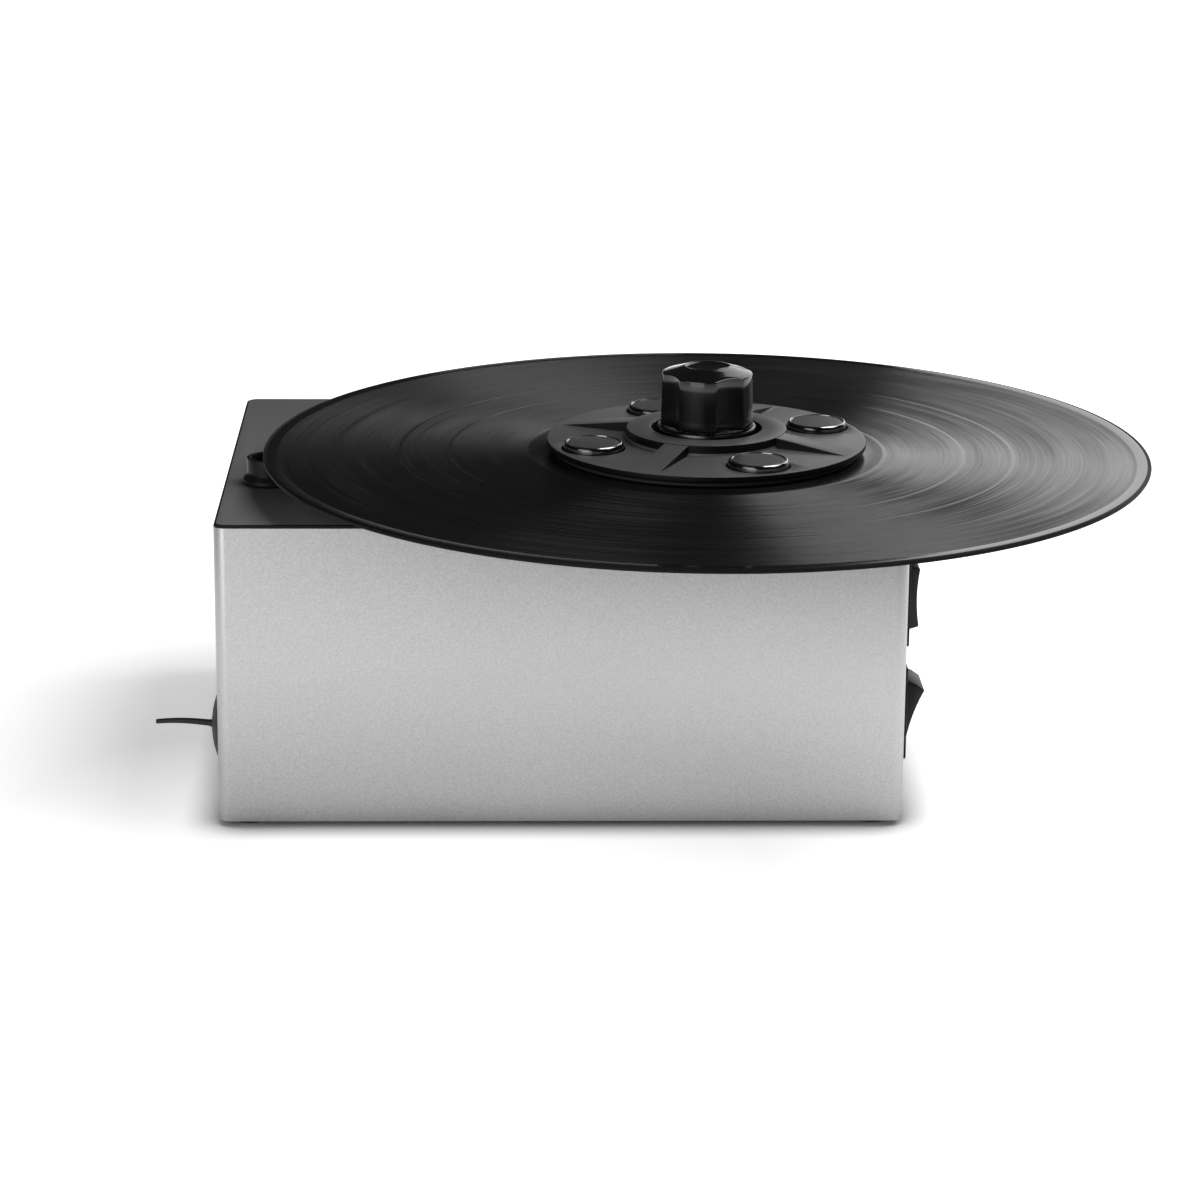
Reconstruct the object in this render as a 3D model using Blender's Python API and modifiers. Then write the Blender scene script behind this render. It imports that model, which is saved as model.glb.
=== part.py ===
"""Record cleaning machine: a metal case with a record on a small driven platter, a screw-down
label clamp, a port for a suction arm, a waste tank with a drain plug, and two side rockers.

Metres, +Z up. The origin is under the middle of the whole machine, on the ground.
+X is the right-hand side, where the rockers are, and +Y is the back.
"""
import math

import bmesh
import bpy
from mathutils import Matrix, Vector

# Space kept between pieces that touch, and how far a cutter passes the face it cuts
gap = 0.0003
overrun = 0.002
merge_distance = 0.00001
smooth_angle = math.radians(35)

# Facets round a turned piece, by its size
record_steps = 48
disc_steps = 32
round_steps = 28
small_steps = 16
inner_steps = 12
tiny_steps = 8
corner_steps = 4
slot_steps = 3

# Case: outside sizes, and where the spindle stands in it
machine_depth = 0.1805
machine_height = 0.1024
ground_clearance = 0.002
shell_wall = 0.002
corner_radius = 0.004
spindle_from_left = 0.1643
spindle_from_right = 0.0647
spindle_from_front = 0.0582
window_border = 0.010
window_radius = 0.003

# Top plate, and the floor of the case
plate_thickness = 0.0010
base_inset = 0.003
base_thickness = 0.003
vent_length = 0.036
vent_width = 0.003
vent_pitch = 0.007
base_vent_count = 5

# Rear panel
panel_thickness = 0.0015
panel_lap = 0.007
panel_cut_radius = 0.001
exhaust_slot_length = 0.014
exhaust_slot_width = 0.002
exhaust_slot_pitch = 0.004
exhaust_slot_count = 6

# Push-in feet, the corner posts that take their stems, and the screws at the back
foot_inset = 0.010
foot_radius = 0.007
foot_waist = 0.0062
foot_dish = 0.0035
foot_dish_depth = 0.001
foot_stem = 0.002
foot_barb = 0.0008
foot_stem_length = 0.008
post_side = 0.008
screw_radius = 0.0015
screw_head_radius = 0.0028
screw_head_crown = 0.0019
screw_head_height = 0.0015
panel_screw_length = 0.0055

# Record
record_radius = 0.1508
record_rim_width = 0.0052
record_thickness = 0.0018
record_groove_sink = 0.0002
record_edge = 0.0005
record_label_radius = 0.058
record_shoulder = 0.003
record_hole = 0.00362
record_top_over_plate = 0.01135

# Spindle, platter and bearing
spindle_radius = 0.004
pin_radius = 0.0033
pin_above_record = 0.0205
pin_tip = 0.0015
running_gap = 0.0003
platter_radius = 0.052
platter_over_plate = 0.003
platter_edge = 0.0008
mat_thickness = 0.0012
mat_radius = 0.050
shoulder_radius = 0.012
shoulder_height = 0.0022
bearing_neck = 0.008
bearing_flange = 0.019
bearing_flange_height = 0.003
bearing_body = 0.011
bearing_length = 0.016

# Drive: toothed wheels, bracket and geared motor
tooth_module = 0.0015
gear_teeth = 40
pinion_teeth = 10
gear_thickness = 0.006
gear_rim = 0.004
gear_hub = 0.009
gear_hub_height = 0.012
gear_lift = 0.003
gear_window_count = 4
gear_window_share = 0.62
tooth_clearance = 0.0004
bracket_wall = 0.0015
bracket_depth = 0.056
bracket_drop = 0.034
bracket_flange = 0.009
bracket_margin = 0.0025
bush_radius = 0.006
bush_flange = 0.008
bush_flange_height = 0.0015
bush_length = 0.005
drive_motor_radius = 0.017
gearbox_radius = 0.018
gearbox_height = 0.018
drive_motor_height = 0.044
motor_edge = 0.0015
nose_radius = 0.006
nose_height = 0.0025
pinion_shaft_radius = 0.003
pinion_shaft_length = 0.010
pinion_collar = 0.005

# Port for the suction arm, its nut and the sleeve down to the tank
port_from_left = 0.0154
port_from_front = 0.0565
port_radius = 0.0076
port_height = 0.009
port_bore = 0.006
port_edge = 0.0004
port_foot_radius = 0.0094
port_foot_edge = 0.0007
port_foot_height = 0.0042
flare_shares = (0, 0.35, 0.65, 1)
port_shank = 0.007
port_shank_length = 0.014
port_lower_bore = 0.005
port_step_depth = 0.0005
nut_height = 0.004
nut_radius = 0.0115
sleeve_wall = 0.0017
sleeve_overlap = 0.0065

# Waste tank, its lid and seal
tank_side_gap = 0.001
tank_from_spindle = 0.0863
tank_depth = 0.108
tank_height = 0.058
tank_wall = 0.0025
tank_skirt = 0.003
tank_radius = 0.003
tank_seal_height = 0.001
lid_thickness = 0.003
nipple_radius = 0.007
nipple_bore = 0.005
nipple_height = 0.008
outlet_inset = 0.016
hose_nipple = 0.0055
hose_nipple_bore = 0.004

# Drain spout and its rubber plug
drain_from_front = 0.030
drain_height = 0.0246
spout_radius = 0.009
spout_bore = 0.006
spout_flange = 0.012
spout_flange_height = 0.0025
spout_recess = 0.0006
plug_flange = 0.012
plug_rim = 0.0008
plug_dome = 0.00356
dome_shares = (0, 0.3, 0.55, 0.8, 1)
plug_shank = 0.0057
plug_shank_tip = 0.0050
plug_shank_length = 0.0060
tail_length = 0.01895
tail_root_radius = 0.00118
tail_tip_radius = 0.00082
tail_rise = 0.0011
tail_points = 7

# Blower: motor on a rubber pad, scroll housing, cover and impeller
blower_from_spindle = 0.0403
blower_from_back = 0.0525
pad_radius = 0.020
pad_height = 0.003
pad_bore = 0.012
vacuum_motor_radius = 0.022
vacuum_motor_height = 0.027
vacuum_shaft_radius = 0.0025
vacuum_shaft_depth = 0.010
scroll_radius = 0.0335
scroll_growth = 0.0105
scroll_wall = 0.002
scroll_height = 0.0215
scroll_points = 24
duct_width = 0.020
impeller_radius = 0.031
impeller_hub = 0.007
impeller_disc = 0.0015
impeller_blade_height = 0.013
impeller_eye = 0.013
blade_thickness = 0.0012
blade_count = 8
blade_lean_angle = math.radians(28)
impeller_floor_gap = 0.0015
cover_thickness = 0.002
inlet_nipple_height = 0.011

# Hose between the tank lid and the blower
hose_wall = 0.0017
hose_bend = 0.011
hose_end_gap = 0.0008
hose_top_gap = 0.003
hose_fit = 0.0005
hose_corner_rings = 3
bend_points = 3

# Rocker switches on the right-hand side
switch_from_front = 0.0305
lower_switch_height = 0.0316
switch_space = 0.0074
bezel_width = 0.025
bezel_height = 0.0324
bezel_thickness = 0.0021
bezel_radius = 0.0012
switch_body_width = 0.0214
switch_body_height = 0.0282
switch_body_depth = 0.022
pocket_width = 0.0181
pocket_height = 0.0246
pocket_depth = 0.0112
rocker_width = 0.0175
rocker_root = 0.0222
rocker_tip = 0.0200
rocker_rise = 0.00345
rocker_dish = 0.00085
rocker_belly = 0.014
rocker_belly_drop = 0.004
pivot_depth = 0.004
rocker_points = 7
rocker_tilt_angle = math.radians(18)
terminal_width = 0.0063
terminal_thickness = 0.0008
terminal_length = 0.007
terminal_pitch = 0.0095

# Mains inlet on the rear panel
inlet_from_right = 0.040
inlet_height = 0.032
inlet_flange_width = 0.050
inlet_flange_height = 0.0235
inlet_flange_thickness = 0.003
inlet_body_width = 0.028
inlet_body_height = 0.0205
inlet_body_depth = 0.020
inlet_cavity_width = 0.0242
inlet_cavity_height = 0.0164
inlet_cavity_depth = 0.017
inlet_chamfer = 0.004
inlet_pin_width = 0.002
inlet_pin_height = 0.004
inlet_pin_length = 0.011
inlet_pin_pitch = 0.007
inlet_screw_spread = 0.040

# Transformer and control board
transformer_from_right = 0.029
transformer_from_back = 0.055
core_width = 0.046
core_depth = 0.026
core_height = 0.038
core_limb = 0.008
core_centre_limb = 0.014
coil_depth = 0.038
coil_corner = 0.003
board_past_spindle = 0.0067
board_from_front = 0.024
board_width = 0.060
board_depth = 0.036
board_thickness = 0.0016
board_lift = 0.006
board_hole_inset = 0.004
board_boss_radius = 0.0028
capacitor_radius = 0.005
capacitor_height = 0.012
relay_width = 0.015
relay_depth = 0.010
relay_height = 0.010

# Label clamp: seal, ribbed disc, weights, collar, fluted knob and its nut
seal_height = 0.0012
seal_outer = 0.0525
seal_inner = 0.046
clamp_radius = 0.0544
clamp_inset = 0.0012
clamp_flange = 0.0020
clamp_top = 0.0041
clamp_edge = 0.0004
hub_outer = 0.0273
hub_top = 0.0079
hub_bore = 0.0188
hub_edge = 0.0005
hub_fillet = 0.0012
clamp_floor = 0.0034
rib_width = 0.0085
rib_inner = 0.022
rib_start = 0.027
rib_end = 0.0532
rib_top_drop = 0.0003
rib_first_angle = math.radians(-115)
weight_first_angle = math.radians(-158.6)
clamp_arm_count = 4
weight_from_rim = 0.0126
weight_radius = 0.0102
weight_edge = 0.0011
weight_top = 0.0064
weight_floor = 0.0008
clamp_pin_clearance = 0.0009
pocket_radius = 0.0108
collar_radius = 0.0168
collar_body = 0.013
collar_top = 0.0087
collar_height = 0.0026
collar_edge = 0.0005
knob_radius = 0.0157
knob_top_radius = 0.0153
knob_bottom = 0.0090
knob_shoulder = 0.0268
knob_top = 0.0292
knob_edge = 0.0005
knob_dimple_radius = 0.0076
knob_dimple_depth = 0.0006
knob_bore_top = 0.0230
flute_depth = 0.002
flute_radius = 0.0186
flute_first_angle = math.radians(29)
nut_insert_radius = 0.0075
nut_insert_height = 0.0078
nut_insert_bore = 0.0037

# Levels and sides that follow from the sizes above
spindle_bore = spindle_radius + running_gap
tail_reach = gap + plug_dome + tail_length
left = (tail_reach - spindle_from_left - record_radius) / 2
right = left + spindle_from_left + spindle_from_right
front = -spindle_from_front
back = front + machine_depth
spindle_x = left + spindle_from_left
shell_bottom = ground_clearance
plate_top = shell_bottom + machine_height
plate_bottom = plate_top - plate_thickness
shell_top = plate_bottom - gap
base_bottom = shell_bottom + base_inset
base_top = base_bottom + base_thickness
panel_out = back - shell_wall - gap
panel_in = panel_out - panel_thickness
record_top = plate_top + record_top_over_plate
record_bottom = record_top - record_thickness
mat_top = record_bottom - gap
mat_bottom = mat_top - mat_thickness
platter_top = mat_bottom - gap
platter_bottom = plate_top + platter_over_plate
shoulder_top = platter_bottom - gap
shoulder_bottom = shoulder_top - shoulder_height
neck_top = shoulder_bottom - gap
bearing_flange_top = plate_bottom - gap
bearing_bottom = bearing_flange_top - bearing_flange_height - bearing_length
bracket_floor_top = plate_bottom - bracket_drop
bracket_floor_bottom = bracket_floor_top - bracket_wall
bush_top = bracket_floor_top + gap + bush_flange_height
gear_bottom = bush_top + gap
gear_web_bottom = gear_bottom + gear_lift
gear_web_top = gear_web_bottom + gear_thickness
shaft_bottom = bush_top - bush_length - bush_flange_height
axle_distance = tooth_module * (gear_teeth + pinion_teeth) / 2
motor_x = spindle_x - axle_distance
motor_top = bracket_floor_bottom - gap
post_low = base_top + gap
post_high = plate_bottom - gap
tank_left = left + shell_wall + tank_side_gap
tank_right = spindle_x - tank_from_spindle
tank_front = front + foot_inset + post_side / 2 + 3 * gap
tank_back = tank_front + tank_depth
tank_bottom = base_top + gap
tank_top = tank_bottom + tank_height
tank_floor = tank_bottom + tank_skirt + tank_wall
lid_bottom = tank_top + tank_seal_height + 2 * gap
lid_top = lid_bottom + lid_thickness
port_x = left + port_from_left
port_y = front + port_from_front
outlet_x = tank_right - outlet_inset
outlet_y = tank_back - outlet_inset
drain_y = front + drain_from_front
drain_z = shell_bottom + drain_height
blower_x = spindle_x - blower_from_spindle
blower_y = back - blower_from_back
pad_top = base_top + gap + pad_height
vacuum_motor_bottom = pad_top + gap
vacuum_motor_top = vacuum_motor_bottom + vacuum_motor_height
scroll_bottom = vacuum_motor_top + gap
scroll_top = scroll_bottom + scroll_height
cover_bottom = scroll_top + gap
cover_top = cover_bottom + cover_thickness
hose_radius = hose_nipple + hose_fit + hose_wall
hose_line = plate_bottom - hose_top_gap - hose_radius
switch_y = front + switch_from_front
upper_switch_height = lower_switch_height + bezel_height + switch_space
bezel_in = right + gap
bezel_out = bezel_in + bezel_thickness
pivot_x = bezel_out - pivot_depth
inlet_x = right - inlet_from_right
inlet_z = shell_bottom + inlet_height
inlet_in = panel_out + gap
inlet_out = inlet_in + inlet_flange_thickness
seal_bottom = record_top + gap
clamp_bottom = seal_bottom + seal_height + gap
weight_circle = clamp_radius - weight_from_rim


def collection(name):
    made = bpy.data.collections.new(name)
    bpy.context.scene.collection.children.link(made)
    return made


for old in list(bpy.data.objects):
    bpy.data.objects.remove(old, do_unlink=True)
parts = collection("record_cleaning_machine")
cutters = collection("cutters")

# Finishes: colour, roughness, metallic
silver = ((0.62, 0.62, 0.61), 0.42, 1.0)
plate_black = ((0.028, 0.028, 0.030), 0.22, 0.0)
steel = ((0.55, 0.56, 0.57), 0.35, 1.0)
chrome = ((0.80, 0.80, 0.80), 0.08, 1.0)
bare_aluminium = ((0.66, 0.67, 0.68), 0.30, 1.0)
brass = ((0.70, 0.52, 0.22), 0.30, 1.0)
black_rubber = ((0.015, 0.015, 0.015), 0.75, 0.0)
vinyl = ((0.012, 0.012, 0.013), 0.18, 0.0)
satin_black = ((0.022, 0.022, 0.024), 0.45, 0.0)
black_plastic = ((0.025, 0.025, 0.027), 0.35, 0.0)
tank_white = ((0.72, 0.73, 0.72), 0.40, 0.0)
cork = ((0.42, 0.28, 0.16), 0.85, 0.0)
white_nylon = ((0.80, 0.79, 0.75), 0.45, 0.0)
laminations = ((0.20, 0.20, 0.21), 0.50, 0.8)
copper_tape = ((0.62, 0.50, 0.16), 0.50, 0.0)
board_green = ((0.03, 0.18, 0.09), 0.45, 0.0)


def finish_material(name, finish):
    colour, roughness, metallic = finish
    material = bpy.data.materials.new(name + "_finish")
    material.use_nodes = True
    shader = material.node_tree.nodes["Principled BSDF"]
    shader.inputs["Base Color"].default_value = (*colour, 1.0)
    shader.inputs["Roughness"].default_value = roughness
    shader.inputs["Metallic"].default_value = metallic
    material.diffuse_color = (*colour, 1.0)
    return material


def place(name, mesh, finish=None, location=(0, 0, 0), rotation=(0, 0, 0)):
    """Put a mesh in the parts with its finish, or in the cutters where it has none."""
    mesh.shade_smooth()
    mesh.set_sharp_from_angle(angle=smooth_angle)
    thing = bpy.data.objects.new(name, mesh)
    thing.location = location
    thing.rotation_euler = rotation
    if finish is None:
        cutters.objects.link(thing)
        thing.hide_render = True
        thing.display_type = 'WIRE'
    else:
        parts.objects.link(thing)
        if not mesh.materials:
            mesh.materials.append(finish_material(name, finish))
    return thing


def to_mesh(name, temporary):
    """The evaluated shape of a temporary object, welded, with its faces pointing out."""
    bpy.context.scene.collection.objects.link(temporary)
    graph = bpy.context.evaluated_depsgraph_get()
    mesh = bpy.data.meshes.new_from_object(temporary.evaluated_get(graph))
    mesh.name = name
    data = temporary.data
    bpy.data.objects.remove(temporary, do_unlink=True)
    if isinstance(data, bpy.types.Curve):
        bpy.data.curves.remove(data)
    bm = bmesh.new()
    bm.from_mesh(mesh)
    bmesh.ops.remove_doubles(bm, verts=bm.verts, dist=merge_distance)
    bmesh.ops.recalc_face_normals(bm, faces=bm.faces)
    bm.to_mesh(mesh)
    bm.free()
    return mesh


def box_mesh(name, low, high):
    """A box between two corners."""
    low, high = Vector(low), Vector(high)
    bm = bmesh.new()
    bmesh.ops.create_cube(bm, size=1)
    bmesh.ops.scale(bm, vec=high - low, verts=bm.verts)
    bmesh.ops.translate(bm, vec=(high + low) / 2, verts=bm.verts)
    mesh = bpy.data.meshes.new(name)
    bm.to_mesh(mesh)
    bm.free()
    return mesh


def rod_mesh(name, radius, low, high, centres=((0, 0),), steps=small_steps):
    """One upright cylinder at each centre, between two heights."""
    bm = bmesh.new()
    for x, y in centres:
        place_rod = Matrix.Translation((x, y, (low + high) / 2))
        bmesh.ops.create_cone(bm, cap_ends=True, segments=steps, radius1=radius, radius2=radius,
                              depth=high - low, matrix=place_rod)
    mesh = bpy.data.meshes.new(name)
    bm.to_mesh(mesh)
    bm.free()
    return mesh


def turned_mesh(name, profile, steps=round_steps):
    """A profile of (radius, height) turned about Z. It runs down the outer side; one that
    leaves the axis is closed back to its start, which makes a ring."""
    bm = bmesh.new()
    corners = [bm.verts.new((radius, 0, height)) for radius, height in profile]
    for first, second in zip(corners, corners[1:]):
        bm.edges.new((first, second))
    if profile[0][0] > 0:
        bm.edges.new((corners[-1], corners[0]))
    mesh = bpy.data.meshes.new(name)
    bm.to_mesh(mesh)
    bm.free()
    temporary = bpy.data.objects.new(name, mesh)
    screw = temporary.modifiers.new("turn", 'SCREW')
    screw.axis = 'Z'
    screw.angle = math.tau
    screw.steps = steps
    screw.render_steps = steps
    screw.use_merge_vertices = True
    screw.merge_threshold = merge_distance
    return to_mesh(name, temporary)


def outline_mesh(name, loops, low, high):
    """Flat outlines in XY, filled between one another and made solid between two heights."""
    curve = bpy.data.curves.new(name, 'CURVE')
    curve.dimensions = '2D'
    curve.fill_mode = 'BOTH'
    curve.extrude = (high - low) / 2
    for loop in loops:
        spline = curve.splines.new('POLY')
        spline.points.add(len(loop) - 1)
        for point, (x, y) in zip(spline.points, loop):
            point.co = (x, y, 0, 1)
        spline.use_cyclic_u = True
    mesh = to_mesh(name, bpy.data.objects.new(name, curve))
    mesh.transform(Matrix.Translation((0, 0, (low + high) / 2)))
    return mesh


# Turns that stand an outline's XY plane up: facing the back, or facing the right-hand side
facing_back = (math.pi / 2, 0, 0)
facing_right = (math.pi / 2, 0, math.pi / 2)
# A turned piece's Z axis laid along -X, and along +Y
axis_to_left = (0, -math.pi / 2, 0)
axis_to_back = (-math.pi / 2, 0, 0)


def arc(centre, radius, start, end, count):
    """Points on an arc, both ends included."""
    return [(centre[0] + radius * math.cos(start + (end - start) * i / count),
             centre[1] + radius * math.sin(start + (end - start) * i / count))
            for i in range(count + 1)]


def rounded_box(low_x, high_x, low_y, high_y, radius, steps=corner_steps):
    corners = ((high_x - radius, high_y - radius), (low_x + radius, high_y - radius),
               (low_x + radius, low_y + radius), (high_x - radius, low_y + radius))
    points = []
    for i, corner in enumerate(corners):
        points += arc(corner, radius, i * math.pi / 2, (i + 1) * math.pi / 2, steps)
    return points


def circle(x, y, radius, steps=tiny_steps):
    return arc((x, y), radius, 0, math.tau * (steps - 1) / steps, steps - 1)


def slot(x, y, length, width):
    """A slot with round ends, along Y."""
    reach = (length - width) / 2
    return (arc((x, y + reach), width / 2, 0, math.pi, slot_steps)
            + arc((x, y - reach), width / 2, math.pi, math.tau, slot_steps))


def on_circle(radius, first_angle, count):
    """Centres spaced evenly round a circle."""
    return [(radius * math.cos(first_angle + math.tau * i / count),
             radius * math.sin(first_angle + math.tau * i / count)) for i in range(count)]


def boolean(thing, tool, operation):
    modifier = thing.modifiers.new(operation.lower(), 'BOOLEAN')
    modifier.operation = operation
    modifier.solver = 'MANIFOLD'
    modifier.object = tool


def cut(thing, tool):
    boolean(thing, tool, 'DIFFERENCE')


def join(thing, tool):
    boolean(thing, tool, 'UNION')


def joint_axis(name, location):
    """An empty on a joint's axis, for the pieces that move with it."""
    empty = bpy.data.objects.new(name, None)
    empty.location = location
    parts.objects.link(empty)
    return empty


def carry(empty, things):
    """Parent pieces to an empty without moving them."""
    bpy.context.view_layer.update()
    for thing in things:
        thing.parent = empty
        thing.matrix_parent_inverse = empty.matrix_world.inverted()


corner_places = {
    "front_left": (left + foot_inset, front + foot_inset),
    "front_right": (right - foot_inset, front + foot_inset),
    "rear_left": (left + foot_inset, back - foot_inset),
    "rear_right": (right - foot_inset, back - foot_inset),
}


def make_shell():
    outer = rounded_box(left, right, front, back, corner_radius)
    inner = rounded_box(left + shell_wall, right - shell_wall, front + shell_wall,
                        back - shell_wall, corner_radius - shell_wall)
    shell = place("body_shell", outline_mesh("body_shell", [outer, inner], shell_bottom, shell_top),
                  silver)
    window = rounded_box(left + shell_wall + window_border, right - shell_wall - window_border,
                         base_top + window_border, shell_top - window_border, window_radius)
    cut(shell, place("rear_window_cutter",
                     outline_mesh("rear_window_cutter", [window],
                                  -back - overrun, -back + shell_wall + overrun),
                     rotation=facing_back))
    drain = rod_mesh("drain_hole_cutter", spout_radius + gap, -shell_wall - overrun, overrun)
    cut(shell, place("drain_hole_cutter", drain, location=(left, drain_y, drain_z),
                     rotation=axis_to_left))
    half_width = switch_body_width / 2 + gap
    half_height = switch_body_height / 2 + gap
    for name, height in (("lower", lower_switch_height), ("upper", upper_switch_height)):
        middle = shell_bottom + height
        hole = box_mesh(name + "_switch_cutter",
                        (right - shell_wall - overrun, switch_y - half_width, middle - half_height),
                        (right + overrun, switch_y + half_width, middle + half_height))
        cut(shell, place(name + "_switch_cutter", hole))


def rear_screw_places():
    side = window_border - panel_lap / 2
    low_x, high_x = left + shell_wall + side, right - shell_wall - side
    low_z, high_z = base_top + side, shell_top - side
    return {"low_left": (low_x, low_z), "low_right": (high_x, low_z),
            "high_left": (low_x, high_z), "high_right": (high_x, high_z)}


def inlet_screw_places():
    spread = inlet_screw_spread / 2
    return {"left": (inlet_x - spread, inlet_z), "right": (inlet_x + spread, inlet_z)}


def make_rear_panel():
    side = shell_wall + window_border - panel_lap
    outline = rounded_box(left + side, right - side, base_top + window_border - panel_lap,
                          shell_top - window_border + panel_lap, window_radius)
    loops = [outline]
    half_width, half_height = inlet_body_width / 2 + gap, inlet_body_height / 2 + gap
    loops.append(rounded_box(inlet_x - half_width, inlet_x + half_width,
                             inlet_z - half_height, inlet_z + half_height, panel_cut_radius))
    duct = duct_middle()
    span = (exhaust_slot_count - 1) * exhaust_slot_pitch
    for i in range(exhaust_slot_count):
        x = duct - span / 2 + i * exhaust_slot_pitch
        loops.append(slot(x, (scroll_bottom + scroll_top) / 2, exhaust_slot_length, exhaust_slot_width))
    for x, z in [*rear_screw_places().values(), *inlet_screw_places().values()]:
        loops.append(circle(x, z, screw_radius + gap))
    place("rear_panel", outline_mesh("rear_panel", loops, -panel_out, -panel_in), satin_black,
          rotation=facing_back)
    drill = rod_mesh("rear_screw_holes", screw_radius + gap, -back - overrun,
                     overrun + shell_wall - back, rear_screw_places().values(), tiny_steps)
    cut(bpy.data.objects["body_shell"], place("rear_screw_holes", drill, rotation=facing_back))
    make_back_screws("rear_panel_screw", rear_screw_places(), back, panel_screw_length)


def make_back_screws(name, places, seat, length):
    """Round-head screws, one for each named place, driven from behind into a face at Y = seat."""
    mesh = turned_mesh(name, [
        (0, gap + screw_head_height), (screw_head_crown, gap + screw_head_height),
        (screw_head_radius, gap + screw_head_height / 2), (screw_head_radius, gap),
        (screw_radius, gap), (screw_radius, -length), (0, -length)], tiny_steps)
    mesh.materials.append(finish_material(name, steel))
    for side, (x, z) in places.items():
        place(name + "_" + side, mesh, steel, (x, seat, z), axis_to_back)


def make_plates():
    hole = bearing_neck + gap
    port_hole = port_shank + gap
    plate = outline_mesh("top_plate", [
        rounded_box(left, right, front, back, corner_radius),
        circle(spindle_x, 0, hole, small_steps),
        circle(port_x, port_y, port_hole, small_steps)], plate_bottom, plate_top)
    place("top_plate", plate, plate_black)

    edge = shell_wall + gap
    loops = [rounded_box(left + edge, right - edge, front + edge, back - edge,
                         corner_radius - shell_wall)]
    loops += [circle(x, y, foot_stem + gap) for x, y in corner_places.values()]
    span = (base_vent_count - 1) * vent_pitch
    for i in range(base_vent_count):
        loops.append(slot(right - transformer_from_right - span / 2 + i * vent_pitch,
                          (front + back) / 2, vent_length, vent_width))
    base = place("base_plate", outline_mesh("base_plate", loops, base_bottom, base_top), steel)
    bosses = rod_mesh("board_bosses", board_boss_radius, base_top - base_thickness / 2,
                      base_top + board_lift, board_hole_places(), tiny_steps)
    join(base, place("board_bosses", bosses))


def make_feet_and_posts():
    top = base_bottom - gap
    tip = top + foot_stem_length
    profile = [(0, tip), (foot_stem - foot_barb, tip), (foot_stem, tip - foot_barb),
               (foot_stem, top), (foot_radius, top), (foot_waist, 0), (foot_dish, 0),
               (foot_dish - foot_dish_depth, foot_dish_depth), (0, foot_dish_depth)]
    foot_mesh = turned_mesh("foot", profile, tiny_steps)
    foot_mesh.materials.append(finish_material("foot", black_rubber))
    half = post_side / 2
    post_mesh = box_mesh("corner_post", (-half, -half, post_low), (half, half, post_high))
    post_mesh.materials.append(finish_material("corner_post", bare_aluminium))
    bore = rod_mesh("post_bore", foot_stem + gap, post_low - overrun, tip + gap,
                    corner_places.values(), tiny_steps)
    bore = place("post_bore", bore)
    for corner, (x, y) in corner_places.items():
        place("foot_" + corner, foot_mesh, black_rubber, location=(x, y, 0))
        post = place("corner_post_" + corner, post_mesh, bare_aluminium, location=(x, y, 0))
        cut(post, bore)


def make_platter():
    shaft = turned_mesh("spindle_shaft", [
        (0, record_top + pin_above_record),
        (pin_radius - pin_tip, record_top + pin_above_record),
        (pin_radius, record_top + pin_above_record - pin_tip),
        (pin_radius, shoulder_top), (shoulder_radius, shoulder_top),
        (shoulder_radius, shoulder_bottom), (spindle_radius, shoulder_bottom),
        (spindle_radius, shaft_bottom), (0, shaft_bottom)], inner_steps)
    hole = pin_radius + gap
    disc = turned_mesh("platter_disc", [
        (platter_radius - platter_edge, platter_top), (platter_radius, platter_top - platter_edge),
        (platter_radius, platter_bottom + platter_edge),
        (platter_radius - platter_edge, platter_bottom), (hole, platter_bottom),
        (hole, platter_top)], small_steps)
    mat = turned_mesh("platter_mat", [
        (mat_radius, mat_top), (mat_radius, mat_bottom), (hole, mat_bottom), (hole, mat_top)],
        small_steps)
    here = (spindle_x, 0, 0)
    moving = [place("spindle_shaft", shaft, steel, here),
              place("platter_disc", disc, bare_aluminium, here),
              place("platter_mat", mat, cork, here), make_drive_gear()]
    carry(joint_axis("platter_axis", (spindle_x, 0, platter_bottom)), moving)


def gear_outline(teeth):
    """Straight-flanked teeth round a pitch circle, one of them centred on +X."""
    pitch = tooth_module * teeth / 2
    tip, root = pitch + tooth_module, pitch - tooth_module - tooth_clearance
    root_half = (tooth_module * math.pi / 2 + tooth_clearance) / 2 / root
    tip_half = (tooth_module * math.pi / 2 - tooth_module) / 2 / tip
    points = []
    for i in range(teeth):
        middle = math.tau * i / teeth
        for radius, turn in ((root, -root_half), (tip, -tip_half), (tip, tip_half), (root, root_half)):
            points.append((radius * math.cos(middle + turn), radius * math.sin(middle + turn)))
    return points


def make_drive_gear():
    bore = spindle_radius + gap
    root = tooth_module * (gear_teeth / 2 - 1) - tooth_clearance
    inner, outer = gear_hub + gear_rim / 2, root - gear_rim
    loops = [gear_outline(gear_teeth)]
    step = math.tau / gear_window_count
    half = step * gear_window_share / 2
    for i in range(gear_window_count):
        middle = i * step
        loops.append(arc((0, 0), outer, middle - half, middle + half, corner_steps)
                     + arc((0, 0), inner, middle + half, middle - half, corner_steps))
    gear = place("drive_gear", outline_mesh("drive_gear", loops, gear_web_bottom, gear_web_top),
                 white_nylon, (spindle_x, 0, 0))
    hub = rod_mesh("gear_hub", gear_hub, gear_bottom, gear_bottom + gear_hub_height,
                   steps=inner_steps)
    join(gear, place("gear_hub", hub, location=(spindle_x, 0, 0)))
    hole = rod_mesh("gear_bore", bore, gear_bottom - overrun, gear_bottom + gear_hub_height + overrun,
                    steps=inner_steps)
    cut(gear, place("gear_bore", hole, location=(spindle_x, 0, 0)))
    return gear


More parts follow.
